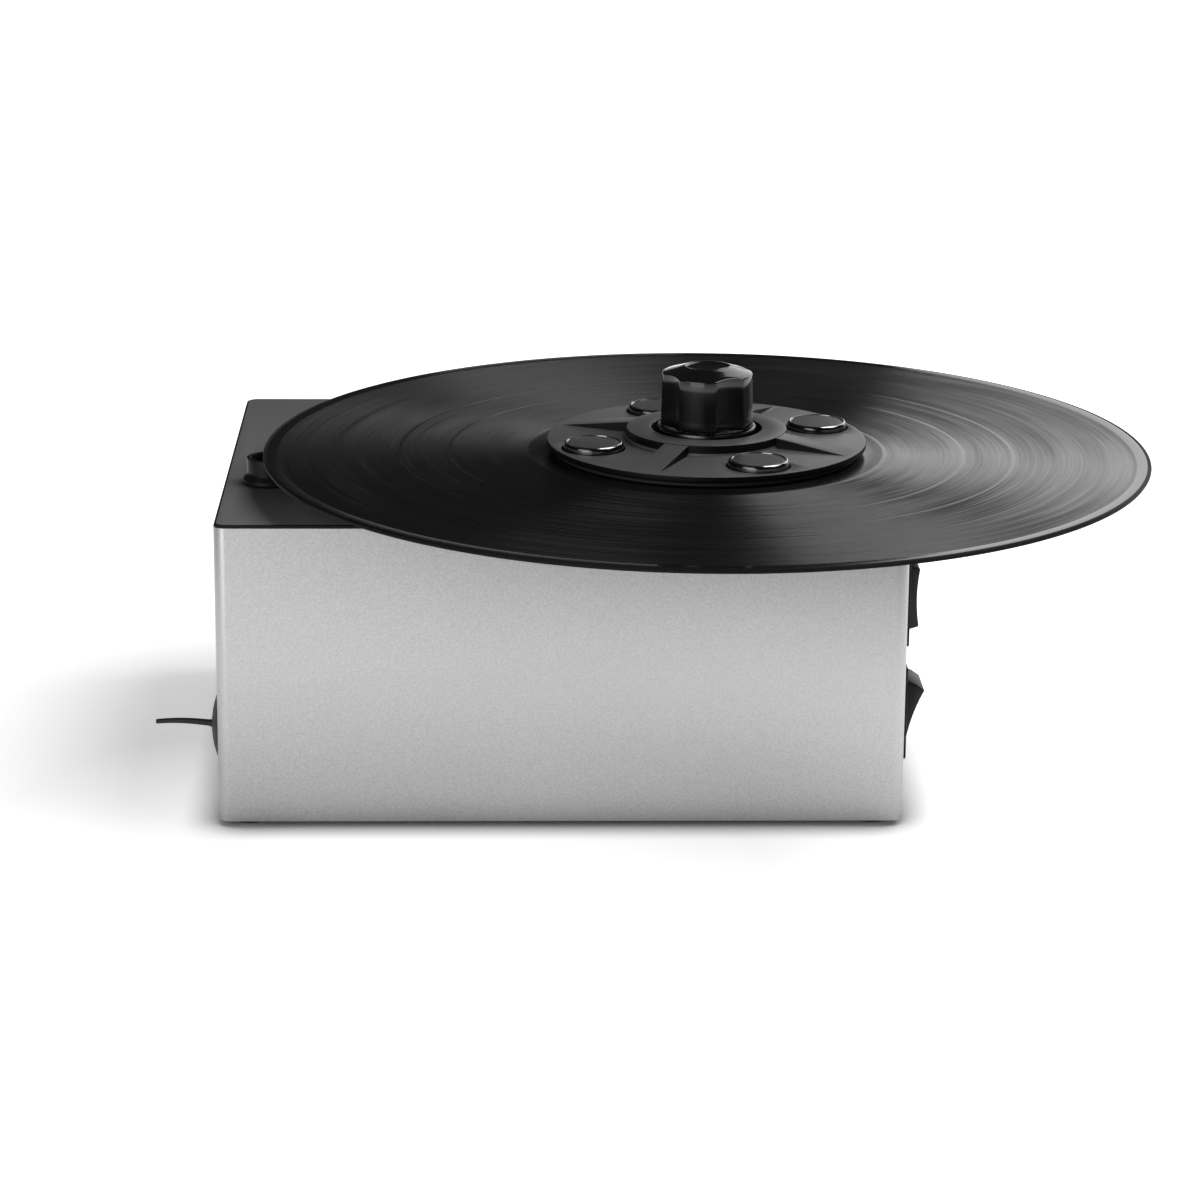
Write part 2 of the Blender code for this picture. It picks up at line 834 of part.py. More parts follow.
def make_bearing():
    bore = spindle_bore
    body = turned_mesh("spindle_bearing", [
        (bearing_neck, neck_top), (bearing_neck, bearing_flange_top),
        (bearing_flange, bearing_flange_top),
        (bearing_flange, bearing_flange_top - bearing_flange_height),
        (bearing_body, bearing_flange_top - bearing_flange_height),
        (bearing_body, bearing_bottom), (bore, bearing_bottom), (bore, neck_top)], inner_steps)
    place("spindle_bearing", body, bare_aluminium, (spindle_x, 0, 0))

    bush = turned_mesh("lower_bush", [
        (bush_flange, bush_top), (bush_flange, bracket_floor_top + gap),
        (bush_radius, bracket_floor_top + gap), (bush_radius, bush_top - bush_length),
        (bore, bush_top - bush_length), (bore, bush_top)], inner_steps)
    place("lower_bush", bush, brass, (spindle_x, 0, 0))


def make_bracket():
    """A folded hat section: floor, two walls and two flanges under the top plate."""
    wall = bracket_wall
    low_x = motor_x - gearbox_radius - bracket_margin
    high_x = spindle_x + tooth_module * (gear_teeth / 2 + 1) + bracket_margin
    top = plate_bottom - gap
    floor = bracket_floor_bottom
    outline = [(low_x - bracket_flange, top), (low_x - bracket_flange, top - wall),
               (low_x - wall, top - wall), (low_x - wall, floor), (high_x + wall, floor),
               (high_x + wall, top - wall), (high_x + bracket_flange, top - wall),
               (high_x + bracket_flange, top), (high_x, top), (high_x, floor + wall),
               (low_x, floor + wall), (low_x, top)]
    mesh = outline_mesh("drive_bracket", [outline], -bracket_depth / 2, bracket_depth / 2)
    bracket = place("drive_bracket", mesh, steel, rotation=facing_back)
    bush_hole = rod_mesh("bush_hole", bush_radius + gap, floor - overrun, floor + wall + overrun,
                         [(spindle_x, 0)])
    cut(bracket, place("bush_hole", bush_hole))
    nose_hole = rod_mesh("nose_hole", nose_radius + gap, floor - overrun, floor + wall + overrun,
                         [(motor_x, 0)])
    cut(bracket, place("nose_hole", nose_hole))


def make_drive_motor():
    top = motor_top
    shoulder = top - gearbox_height
    bottom = top - drive_motor_height
    bore = pinion_shaft_radius + running_gap
    nose_top = bracket_floor_top + nose_height
    bore_end = nose_top - pinion_shaft_length - gap
    mesh = turned_mesh("drive_motor", [
        (0, bore_end), (bore, bore_end), (bore, nose_top), (nose_radius, nose_top),
        (nose_radius, top), (gearbox_radius, top), (gearbox_radius, shoulder),
        (drive_motor_radius, shoulder), (drive_motor_radius, bottom + motor_edge),
        (drive_motor_radius - motor_edge, bottom), (0, bottom)], inner_steps)
    place("drive_motor", mesh, steel, (motor_x, 0, 0))

    pinion = outline_mesh("drive_pinion", [gear_outline(pinion_teeth)],
                          gear_web_bottom - gap, gear_web_top + gap)
    half_tooth = math.pi / pinion_teeth
    pinion = place("drive_pinion", pinion, brass, (motor_x, 0, 0), (0, 0, half_tooth))
    collar = rod_mesh("pinion_collar", pinion_collar, nose_top + gap, gear_web_bottom + gap,
                      steps=tiny_steps)
    shaft = rod_mesh("pinion_shaft", pinion_shaft_radius, nose_top - pinion_shaft_length,
                     gear_web_top, steps=tiny_steps)
    join(pinion, place("pinion_collar", collar, location=(motor_x, 0, 0)))
    join(pinion, place("pinion_shaft", shaft, location=(motor_x, 0, 0)))
    carry(joint_axis("pinion_axis", (motor_x, 0, nose_top)), [pinion])


def make_record():
    sink = record_groove_sink
    rim = record_radius - record_rim_width
    label = record_label_radius
    profile = [
        (record_radius - record_edge, record_top), (record_radius, record_top - record_edge),
        (record_radius, record_bottom + record_edge), (record_radius - record_edge, record_bottom),
        (record_hole, record_bottom), (record_hole, record_top),
        (label, record_top), (label + record_shoulder, record_top - sink), (rim, record_top - sink)]
    record = place("record", turned_mesh("record", profile, record_steps), vinyl, (spindle_x, 0, 0))
    carry(joint_axis("record_axis", (spindle_x, 0, record_bottom)), [record])


def make_clamp():
    top = record_top + clamp_top
    floor = record_top + clamp_floor
    hub = record_top + hub_top
    hole = pin_radius + clamp_pin_clearance
    seal = turned_mesh("clamp_seal", [
        (seal_outer, seal_bottom + seal_height), (seal_outer, seal_bottom),
        (seal_inner, seal_bottom), (seal_inner, seal_bottom + seal_height)], round_steps)
    here = (spindle_x, 0, 0)
    seal = place("clamp_seal", seal, black_rubber, here)
    disc = turned_mesh("clamp_disc", [
        (hub_outer - hub_edge, hub), (hub_outer, hub - hub_edge), (hub_outer, top + hub_fillet),
        (hub_outer + hub_fillet, top), (clamp_radius - clamp_edge, top),
        (clamp_radius, top - clamp_edge), (clamp_radius, top - clamp_flange),
        (clamp_radius - clamp_inset, top - clamp_flange), (clamp_radius - clamp_inset, clamp_bottom),
        (hole, clamp_bottom), (hole, floor), (hub_bore, floor), (hub_bore, hub - hub_edge),
        (hub_bore + hub_edge, hub)], disc_steps)
    disc = place("clamp_disc", disc, satin_black, here)

    rise = hub - rib_top_drop
    run_out = top - clamp_edge / 2
    outline = [(rib_inner, floor), (rib_inner, rise), (rib_start, rise), (rib_end, run_out),
               (rib_end, floor)]
    rib = outline_mesh("clamp_rib", [outline], -rib_width / 2, rib_width / 2)
    rib.transform(Matrix.Rotation(math.pi / 2, 4, 'X'))
    bm = bmesh.new()
    for i in range(clamp_arm_count):
        turned = rib.copy()
        turned.transform(Matrix.Rotation(rib_first_angle + math.tau * i / clamp_arm_count, 4, 'Z'))
        bm.from_mesh(turned)
        bpy.data.meshes.remove(turned)
    bm.to_mesh(rib)
    bm.free()
    join(disc, place("clamp_rib", rib, location=here))
    pockets = rod_mesh("weight_pockets", pocket_radius, clamp_bottom + weight_floor, hub,
                       on_circle(weight_circle, weight_first_angle, clamp_arm_count))
    cut(disc, place("weight_pockets", pockets, location=here))

    weight_high, weight_low = record_top + weight_top, clamp_bottom + weight_floor + gap
    weight = turned_mesh("clamp_weight", [
        (0, weight_high), (weight_radius - weight_edge, weight_high),
        (weight_radius - weight_edge / 4, weight_high - weight_edge / 3),
        (weight_radius, weight_high - weight_edge), (weight_radius, weight_low),
        (0, weight_low)], small_steps)
    weight.materials.append(finish_material("clamp_weight", chrome))
    moving = [seal, disc]
    places = on_circle(weight_circle, weight_first_angle, clamp_arm_count)
    for side, (x, y) in zip(("left", "front", "right", "rear"), places):
        moving.append(place("clamp_weight_" + side, weight, chrome, (spindle_x + x, y, 0)))

    ring_top = record_top + collar_top
    ring_bottom = ring_top - collar_height
    collar = turned_mesh("clamp_collar", [
        (collar_radius - collar_edge, ring_top), (collar_radius, ring_top - collar_edge),
        (collar_radius, ring_bottom), (collar_body, ring_bottom), (collar_body, floor + gap),
        (hole, floor + gap), (hole, ring_top)], small_steps)
    moving.append(place("clamp_collar", collar, chrome, here))
    carry(joint_axis("clamp_axis", (spindle_x, 0, clamp_bottom)), moving)


def make_knob():
    bottom, shoulder = record_top + knob_bottom, record_top + knob_shoulder
    top = record_top + knob_top
    nut_bottom = bottom + gap
    nut_top = nut_bottom + nut_insert_height
    bore = nut_insert_radius + gap
    profile = [
        (0, top - knob_dimple_depth), (knob_dimple_radius - knob_edge, top - knob_dimple_depth),
        (knob_dimple_radius, top), (knob_top_radius - knob_edge, shoulder + knob_edge),
        (knob_top_radius, shoulder), (knob_radius, bottom + knob_edge),
        (knob_radius - knob_edge, bottom), (bore, bottom), (bore, nut_top + gap),
        (nut_insert_bore + gap, nut_top + gap), (nut_insert_bore + gap, record_top + knob_bore_top),
        (0, record_top + knob_bore_top)]
    here = (spindle_x, 0, 0)
    knob = place("clamp_knob", turned_mesh("clamp_knob", profile, round_steps), satin_black, here)
    reach = knob_radius - flute_depth + flute_radius
    flutes = rod_mesh("knob_flutes", flute_radius, bottom - overrun, top + overrun,
                      on_circle(reach, flute_first_angle - math.pi / 2, clamp_arm_count), disc_steps)
    cut(knob, place("knob_flutes", flutes, location=here))
    nut = turned_mesh("knob_nut", [
        (nut_insert_radius, nut_top), (nut_insert_radius, nut_bottom),
        (nut_insert_bore, nut_bottom), (nut_insert_bore, nut_top)], inner_steps)
    nut = place("knob_nut", nut, brass, here)
    carry(joint_axis("knob_axis", (spindle_x, 0, bottom)), [knob, nut])


def make_port():
    seat = plate_top + gap
    top = plate_top + port_height
    foot = plate_top + port_foot_height
    end = plate_bottom - port_shank_length
    spread = port_foot_radius - port_radius
    step = plate_top - port_step_depth
    sweep = [(port_radius + spread * (1 - math.cos(math.pi * share)) / 2,
              foot - (foot - seat - port_foot_edge) * share) for share in flare_shares]
    profile = [(port_bore + port_edge, top), (port_radius - port_edge, top),
               (port_radius, top - port_edge)] + sweep + [
        (port_foot_radius, seat), (port_shank, seat), (port_shank, end), (port_lower_bore, end),
        (port_lower_bore, step), (port_bore, step), (port_bore, top - port_edge)]
    here = (port_x, port_y, 0)
    place("arm_port", turned_mesh("arm_port", profile, small_steps), black_plastic, here)

    nut_top = plate_bottom - gap
    hexagon = circle(0, 0, nut_radius, 6)
    nut = outline_mesh("port_nut", [hexagon, circle(0, 0, port_shank + gap, small_steps)],
                       nut_top - nut_height, nut_top)
    place("port_nut", nut, black_plastic, here)

    bore = port_shank + gap
    sleeve_top = end + sleeve_overlap
    sleeve_bottom = lid_top + gap
    sleeve = turned_mesh("port_sleeve", [
        (bore + sleeve_wall, sleeve_top), (bore + sleeve_wall, sleeve_bottom),
        (bore, sleeve_bottom), (bore, sleeve_top)], small_steps)
    place("port_sleeve", sleeve, black_rubber, here)



def make_tank():
    outer = rounded_box(tank_left, tank_right, tank_front, tank_back, tank_radius)
    inner = rounded_box(tank_left + tank_wall, tank_right - tank_wall, tank_front + tank_wall,
                        tank_back - tank_wall, tank_radius - tank_wall)
    tank = place("waste_tank", outline_mesh("waste_tank", [outer], tank_bottom, tank_top), tank_white)
    hollow = outline_mesh("tank_hollow", [inner], tank_floor, tank_top + overrun)
    cut(tank, place("tank_hollow", hollow))
    under = outline_mesh("tank_underside", [inner], tank_bottom - overrun, tank_floor - tank_wall)
    cut(tank, place("tank_underside", under))
    hole = rod_mesh("spout_hole", spout_radius + gap, -shell_wall - tank_side_gap - tank_wall - overrun,
                    0)
    cut(tank, place("spout_hole", hole, location=(left, drain_y, drain_z), rotation=axis_to_left))

    seal = outline_mesh("tank_seal", [outer, inner], tank_top + gap,
                        tank_top + gap + tank_seal_height)
    place("tank_seal", seal, black_rubber)

    lid = place("tank_lid", outline_mesh("tank_lid", [outer], lid_bottom, lid_top), tank_white)
    for name, x, y, radius, bore in (("port", port_x, port_y, nipple_radius, nipple_bore),
                                     ("outlet", outlet_x, outlet_y, hose_nipple, hose_nipple_bore)):
        nipple = rod_mesh(name + "_nipple", radius, lid_top - lid_thickness / 2,
                          lid_top + nipple_height, [(x, y)])
        join(lid, place(name + "_nipple", nipple))
        through = rod_mesh(name + "_nipple_bore", bore, lid_bottom - overrun,
                           lid_top + nipple_height + overrun, [(x, y)])
        cut(lid, place(name + "_nipple_bore", through))


def make_drain():
    """Spout and plug, turned about an axis that runs out to the left from the shell's face."""
    inside = -shell_wall - tank_side_gap - tank_wall - gap
    end = inside - spout_flange_height
    spout = turned_mesh("drain_spout", [
        (spout_radius, -spout_recess), (spout_radius, inside), (spout_flange, inside),
        (spout_flange, end), (spout_bore, end), (spout_bore, -spout_recess)], inner_steps)
    place("drain_spout", spout, black_plastic, (left, drain_y, drain_z), axis_to_left)

    dome = [(plug_flange * share, gap + plug_rim + (plug_dome - plug_rim) * (1 - share ** 2))
            for share in dome_shares]
    profile = dome + [(plug_flange, gap), (plug_shank, gap), (plug_shank, -plug_shank_length / 2),
                      (plug_shank_tip, -plug_shank_length), (0, -plug_shank_length)]
    plug = place("drain_plug", turned_mesh("drain_plug", profile, small_steps), black_rubber,
                 (left, drain_y, drain_z), axis_to_left)

    curve = bpy.data.curves.new("plug_tail", 'CURVE')
    curve.dimensions = '3D'
    curve.bevel_depth = tail_root_radius
    curve.bevel_resolution = 2
    curve.use_fill_caps = True
    spline = curve.splines.new('POLY')
    spline.points.add(tail_points - 1)
    start = gap + plug_dome / 2
    length = gap + plug_dome + tail_length - start
    for i, point in enumerate(spline.points):
        share = i / (tail_points - 1)
        rise = tail_rise * math.sin(share * math.pi * 3 / 4)
        point.co = (rise, 0, start + length * share, 1)
        point.radius = 1 + (tail_tip_radius / tail_root_radius - 1) * share
    tail = to_mesh("plug_tail", bpy.data.objects.new("plug_tail", curve))
    tail = place("plug_tail", tail, location=(left, drain_y, drain_z), rotation=axis_to_left)
    join(plug, tail)
    carry(joint_axis("plug_axis", (left, drain_y, drain_z)), [plug])



def duct_middle():
    """Where the blower's outlet duct crosses the rear panel, along X."""
    return blower_x + scroll_radius + scroll_growth - duct_width / 2


def scroll_outline(grow, end_y):
    """A scroll that widens anticlockwise into a straight duct towards the back."""
    wide = scroll_radius + scroll_growth + grow
    narrow = wide - duct_width - 2 * grow
    tongue = math.acos(narrow / (scroll_radius + grow))
    points = []
    for i in range(scroll_points + 1):
        share = i / scroll_points
        turn = tongue + (math.tau - tongue) * share
        radius = scroll_radius + scroll_growth * share + grow
        points.append((blower_x + radius * math.cos(turn), blower_y + radius * math.sin(turn)))
    return points + [(blower_x + wide, end_y), (blower_x + narrow, end_y)]


def make_blower():
    pad = turned_mesh("motor_pad", [
        (pad_radius, pad_top), (pad_radius, base_top + gap), (pad_bore, base_top + gap),
        (pad_bore, pad_top)], inner_steps)
    here = (blower_x, blower_y, 0)
    place("motor_pad", pad, black_rubber, here)

    bore = vacuum_shaft_radius + running_gap
    bore_end = vacuum_motor_top - vacuum_shaft_depth - gap
    motor = turned_mesh("vacuum_motor", [
        (0, bore_end), (bore, bore_end), (bore, vacuum_motor_top),
        (vacuum_motor_radius - motor_edge, vacuum_motor_top),
        (vacuum_motor_radius, vacuum_motor_top - motor_edge),
        (vacuum_motor_radius, vacuum_motor_bottom + motor_edge),
        (vacuum_motor_radius - motor_edge, vacuum_motor_bottom), (0, vacuum_motor_bottom)],
        inner_steps)
    place("vacuum_motor", motor, steel, here)

    floor = scroll_bottom + scroll_wall
    end = panel_in - 2 * gap
    housing = place("blower_housing", outline_mesh("blower_housing", [scroll_outline(scroll_wall, end)],
                                                   scroll_bottom, scroll_top), black_plastic)
    cut(housing, place("scroll_hollow", outline_mesh("scroll_hollow", [scroll_outline(0, end + overrun)],
                                                     floor, scroll_top + overrun)))
    eye = rod_mesh("scroll_eye", bore, scroll_bottom - overrun, floor + overrun)
    cut(housing, place("scroll_eye", eye, location=here))

    cover = place("blower_cover", outline_mesh("blower_cover", [scroll_outline(scroll_wall, end)],
                                               cover_bottom, cover_top), black_plastic)
    nipple_top = cover_top + inlet_nipple_height
    nipple = rod_mesh("inlet_nipple", hose_nipple, cover_bottom + cover_thickness / 2, nipple_top)
    join(cover, place("inlet_nipple", nipple, location=here))
    inlet = rod_mesh("inlet_bore", hose_nipple_bore, cover_bottom - overrun, nipple_top + overrun)
    cut(cover, place("inlet_bore", inlet, location=here))
    make_impeller(floor + impeller_floor_gap)


def make_impeller(disc_bottom):
    """A backplate with a hub, a shaft down into the motor and blades that lean back."""
    disc_top = disc_bottom + impeller_disc
    hub_height = disc_top + impeller_blade_height / 2
    wheel = turned_mesh("blower_impeller", [
        (0, hub_height), (impeller_hub - impeller_disc, hub_height), (impeller_hub, disc_top),
        (impeller_radius, disc_top), (impeller_radius, disc_bottom),
        (vacuum_shaft_radius, disc_bottom),
        (vacuum_shaft_radius, vacuum_motor_top - vacuum_shaft_depth),
        (0, vacuum_motor_top - vacuum_shaft_depth)], small_steps)
    here = (blower_x, blower_y, 0)
    wheel = place("blower_impeller", wheel, white_nylon, here)
    half = blade_thickness / 2
    length = (impeller_radius - impeller_eye) / math.cos(blade_lean_angle)
    lean = Matrix.Rotation(blade_lean_angle, 4, 'Z')
    bm = bmesh.new()
    for i in range(blade_count):
        blade = box_mesh("blade", (0, -half, disc_top - impeller_disc / 2),
                         (length - half * 3, half, disc_top + impeller_blade_height))
        blade.transform(Matrix.Rotation(math.tau * i / blade_count, 4, 'Z')
                        @ Matrix.Translation((impeller_eye, 0, 0)) @ lean)
        bm.from_mesh(blade)
        bpy.data.meshes.remove(blade)
    blades = bpy.data.meshes.new("impeller_blades")
    bm.to_mesh(blades)
    bm.free()
    join(wheel, place("impeller_blades", blades, location=here))
    carry(joint_axis("impeller_axis", (blower_x, blower_y, disc_bottom)), [wheel])


def make_hose():
    """A bent hose from the tank lid's outlet, over to the blower's inlet and down onto it."""
    start, end = Vector((outlet_x, outlet_y)), Vector((blower_x, blower_y))
    along = (end - start).normalized()
    run = (end - start).length
    low_start, low_end = lid_top + hose_end_gap, cover_top + hose_end_gap
    bend = hose_bend
    path = [(0, low_start)]
    path += arc((bend, hose_line - bend), bend, math.pi, math.pi / 2, bend_points)
    path += arc((run - bend, hose_line - bend), bend, math.pi / 2, 0, bend_points)
    path.append((run, low_end))
    curve = bpy.data.curves.new("suction_hose", 'CURVE')
    curve.dimensions = '3D'
    curve.bevel_depth = hose_radius
    curve.bevel_resolution = hose_corner_rings
    spline = curve.splines.new('POLY')
    spline.points.add(len(path) - 1)
    for point, (distance, height) in zip(spline.points, path):
        place_on = start + along * distance
        point.co = (place_on.x, place_on.y, height, 1)
    hose = place("suction_hose", to_mesh("suction_hose", bpy.data.objects.new("suction_hose", curve)),
                 black_rubber)
    wall = hose.modifiers.new("wall", 'SOLIDIFY')
    wall.thickness = hose_wall
    wall.offset = -1


def box_outline(middle_x, middle_y, width, height, radius=0):
    low_x, high_x = middle_x - width / 2, middle_x + width / 2
    low_y, high_y = middle_y - height / 2, middle_y + height / 2
    if radius:
        return rounded_box(low_x, high_x, low_y, high_y, radius)
    return [(low_x, low_y), (high_x, low_y), (high_x, high_y), (low_x, high_y)]


def rocker_outline(tilt):
    """A rocker seen from the side, round its pivot: X is out of the case and Y is up."""
    proud = pivot_depth + rocker_rise
    half = rocker_tip / 2
    points = []
    for i in range(rocker_points):
        share = 2 * i / (rocker_points - 1) - 1
        points.append((proud - rocker_dish * (1 - share ** 2), -half * share))
    points += [(pivot_depth, -rocker_root / 2), (0, -rocker_root / 2),
               (-rocker_belly_drop, -rocker_belly / 2), (-rocker_belly_drop, rocker_belly / 2),
               (0, rocker_root / 2), (pivot_depth, rocker_root / 2)]
    cosine, sine = math.cos(tilt), math.sin(tilt)
    return [(x * cosine + y * sine, y * cosine - x * sine) for x, y in points]


def make_switch(name, height, tilt):
    """A snap-in rocker switch: bezel, body, pocket, terminals and the rocker on its pivot."""
    middle = shell_bottom + height
    bezel = outline_mesh(name + "_switch", [box_outline(switch_y, middle, bezel_width, bezel_height,
                                                        bezel_radius)], bezel_in, bezel_out)
    case = place(name + "_switch", bezel, black_plastic, rotation=facing_right)
    half_width, half_height = switch_body_width / 2, switch_body_height / 2
    deep = bezel_in - switch_body_depth
    body = box_mesh(name + "_switch_body", (deep, switch_y - half_width, middle - half_height),
                    (bezel_in + bezel_thickness / 2, switch_y + half_width, middle + half_height))
    join(case, place(name + "_switch_body", body))
    half_width, half_height = pocket_width / 2, pocket_height / 2
    pocket = box_mesh(name + "_switch_pocket",
                      (bezel_out - pocket_depth, switch_y - half_width, middle - half_height),
                      (bezel_out + overrun, switch_y + half_width, middle + half_height))
    cut(case, place(name + "_switch_pocket", pocket))
    bm = bmesh.new()
    for i in (-1, 0, 1):
        z = middle + i * terminal_pitch
        blade = box_mesh("terminal", (deep - terminal_length, switch_y - terminal_width / 2,
                                      z - terminal_thickness / 2),
                         (deep + terminal_thickness, switch_y + terminal_width / 2,
                          z + terminal_thickness / 2))
        bm.from_mesh(blade)
        bpy.data.meshes.remove(blade)
    terminals = bpy.data.meshes.new(name + "_terminals")
    bm.to_mesh(terminals)
    bm.free()
    join(case, place(name + "_terminals", terminals))

    rocker = outline_mesh(name + "_rocker", [rocker_outline(tilt)], -rocker_width / 2,
                          rocker_width / 2)
    pivot = (pivot_x, switch_y, middle)
    rocker = place(name + "_rocker", rocker, satin_black, pivot, facing_back)
    carry(joint_axis(name + "_rocker_axis", pivot), [rocker])


def make_inlet():
    """A three-pin mains inlet that stands on the rear panel."""
    flange = outline_mesh("mains_inlet", [
        box_outline(inlet_x, inlet_z, inlet_flange_width, inlet_flange_height, inlet_chamfer)],
        -inlet_out, -inlet_in)
    inlet = place("mains_inlet", flange, black_plastic, rotation=facing_back)
    body = outline_mesh("inlet_body", [box_outline(inlet_x, inlet_z, inlet_body_width,
                                                   inlet_body_height)],
                        -inlet_in - inlet_flange_thickness / 2, inlet_body_depth - inlet_in)
    join(inlet, place("inlet_body", body, rotation=facing_back))
    half_width, half_height = inlet_cavity_width / 2, inlet_cavity_height / 2
    corner = inlet_chamfer
    mouth = [(inlet_x - half_width, inlet_z - half_height), (inlet_x + half_width, inlet_z - half_height),
             (inlet_x + half_width, inlet_z + half_height - corner),
             (inlet_x + half_width - corner, inlet_z + half_height),
             (inlet_x - half_width + corner, inlet_z + half_height),
             (inlet_x - half_width, inlet_z + half_height - corner)]
    floor = inlet_out - inlet_cavity_depth
    cut(inlet, place("inlet_cavity", outline_mesh("inlet_cavity", [mouth], -inlet_out - overrun, -floor),
                     rotation=facing_back))
    bm = bmesh.new()
    for across, up in ((-1, -1), (0, 1), (1, -1)):
        x, z = inlet_x + across * inlet_pin_pitch, inlet_z + up * inlet_pin_width
        pin = box_mesh("pin", (x - inlet_pin_width / 2, floor - overrun / 2, z - inlet_pin_height / 2),
                       (x + inlet_pin_width / 2, floor + inlet_pin_length, z + inlet_pin_height / 2))
        bm.from_mesh(pin)
        bpy.data.meshes.remove(pin)
    pins = bpy.data.meshes.new("inlet_pins")
    bm.to_mesh(pins)
    bm.free()
    join(inlet, place("inlet_pins", pins))
    drill = rod_mesh("inlet_screw_holes", screw_radius + gap, -inlet_out - overrun,
                     -panel_in + overrun, inlet_screw_places().values(), tiny_steps)
    cut(inlet, place("inlet_screw_holes", drill, rotation=facing_back))
    make_back_screws("inlet_screw", inlet_screw_places(), inlet_out, panel_screw_length)


def make_transformer():
    middle_x, middle_y = right - transformer_from_right, back - transformer_from_back
    low = base_top + gap
    high = low + core_height
    window = (core_width - 2 * core_limb - core_centre_limb) / 2
    offset = (core_centre_limb + window) / 2
    loops = [box_outline(middle_x, (low + high) / 2, core_width, core_height)]
    for side in (-1, 1):
        loops.append(box_outline(middle_x + side * offset, (low + high) / 2, window,
                                 core_height - 2 * core_limb))
    core = outline_mesh("transformer_core", loops, -middle_y - core_depth / 2,
                        -middle_y + core_depth / 2)
    place("transformer_core", core, laminations, rotation=facing_back)
    coil = outline_mesh("transformer_coil", [
        box_outline(middle_x, middle_y, core_centre_limb + 2 * (window - gap), coil_depth,
                    coil_corner),
        box_outline(middle_x, middle_y, core_centre_limb + 2 * gap, core_depth + 2 * gap)],
        low + core_limb + gap, high - core_limb - gap)
    place("transformer_coil", coil, copper_tape)


def board_hole_places():
    """The bosses pressed up from the base plate that carry the board's corners."""
    middle_x, middle_y = spindle_x + board_past_spindle, front + board_from_front
    half_width, half_depth = board_width / 2 - board_hole_inset, board_depth / 2 - board_hole_inset
    return [(middle_x + i * half_width, middle_y + j * half_depth) for i in (-1, 1) for j in (-1, 1)]


def make_board():
    middle_x, middle_y = spindle_x + board_past_spindle, front + board_from_front
    low = base_top + board_lift + gap
    high = low + board_thickness
    board = outline_mesh("control_board", [box_outline(middle_x, middle_y, board_width, board_depth)],
                         low, high)
    board = place("control_board", board, board_green)
    seat = high - board_thickness / 2
    relay_x = middle_x + board_width / 2 - board_hole_inset - relay_width
    relay = box_mesh("relay", (relay_x - relay_width / 2, middle_y - relay_depth / 2, seat),
                     (relay_x + relay_width / 2, middle_y + relay_depth / 2, high + relay_height))
    join(board, place("relay", relay))
    cans = rod_mesh("capacitors", capacitor_radius, seat, high + capacitor_height,
                    [(middle_x + capacitor_radius / 2, middle_y + side * board_depth / 4)
                     for side in (-1, 1)], tiny_steps)
    join(board, place("capacitors", cans))


make_shell()
make_rear_panel()
make_plates()
make_feet_and_posts()
make_bearing()
make_platter()
make_bracket()
make_drive_motor()
make_record()
make_clamp()
make_knob()
make_port()
make_tank()
make_drain()
make_blower()
make_hose()
make_switch("lower", lower_switch_height, rocker_tilt_angle)
make_switch("upper", upper_switch_height, 0)
make_inlet()
make_transformer()
make_board()
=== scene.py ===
import math

import bmesh
import bpy
from mathutils import Matrix, Vector


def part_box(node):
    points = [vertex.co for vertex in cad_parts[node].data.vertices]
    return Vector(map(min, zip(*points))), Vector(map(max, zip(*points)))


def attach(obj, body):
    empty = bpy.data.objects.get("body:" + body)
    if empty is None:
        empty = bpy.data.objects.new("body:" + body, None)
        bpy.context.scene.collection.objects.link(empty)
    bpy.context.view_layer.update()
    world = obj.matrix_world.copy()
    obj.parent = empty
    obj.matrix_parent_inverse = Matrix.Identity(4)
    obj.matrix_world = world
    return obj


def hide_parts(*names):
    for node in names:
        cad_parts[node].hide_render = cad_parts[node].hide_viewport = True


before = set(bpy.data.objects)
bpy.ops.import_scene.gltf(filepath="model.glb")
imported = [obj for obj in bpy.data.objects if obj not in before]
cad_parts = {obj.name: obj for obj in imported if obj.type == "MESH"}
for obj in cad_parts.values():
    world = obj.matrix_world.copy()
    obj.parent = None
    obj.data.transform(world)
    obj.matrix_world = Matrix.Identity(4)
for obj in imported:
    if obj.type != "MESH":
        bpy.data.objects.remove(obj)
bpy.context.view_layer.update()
mm = 0.001
turn = math.tau
recordLow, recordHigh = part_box("record")
axisX = (recordLow.x + recordHigh.x) / 2  # the spindle stands at this X and at Y = 0
recordTop = recordHigh.z
recordBottom = recordLow.z
print("frame loaded:", len(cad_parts), "nodes")

mergeWithin = 0.000002  # points nearer together than this become one
solidMergeWithin = 0.000005  # and in copies of the CAD solids
towardsLeft = Matrix.Rotation(-math.pi / 2, 3, "Y")  # turns what points up
towardsBack = Matrix.Rotation(-math.pi / 2, 3, "X")
upright = Matrix.Rotation(math.pi / 2, 4, "X")  # stands a slab up
noiseSpan = (0.3, 0.7)  # a noise seldom leaves this span
glossSpan = (0.25, 0.75)  # the same, a little wider, for gloss
easedAbove = math.radians(50)  # edges that bend less stay sharp


# node helpers, shared by materials and geometry trees

def feed(tree, socket, value):
    if isinstance(value, bpy.types.NodeSocket):
        tree.links.new(value, socket)
    else:
        socket.default_value = value


def addNode(tree, kind, values=None, **settings):
    node = tree.nodes.new(kind)
    for key, value in settings.items():
        setattr(node, key, value)
    for key, value in (values or {}).items():
        feed(tree, node.inputs[key], value)
    return node


def maths(tree, operation, *values):
    return addNode(tree, "ShaderNodeMath", dict(enumerate(values)), operation=operation).outputs[0]


def times(tree, first, second):
    return maths(tree, "MULTIPLY", first, second)


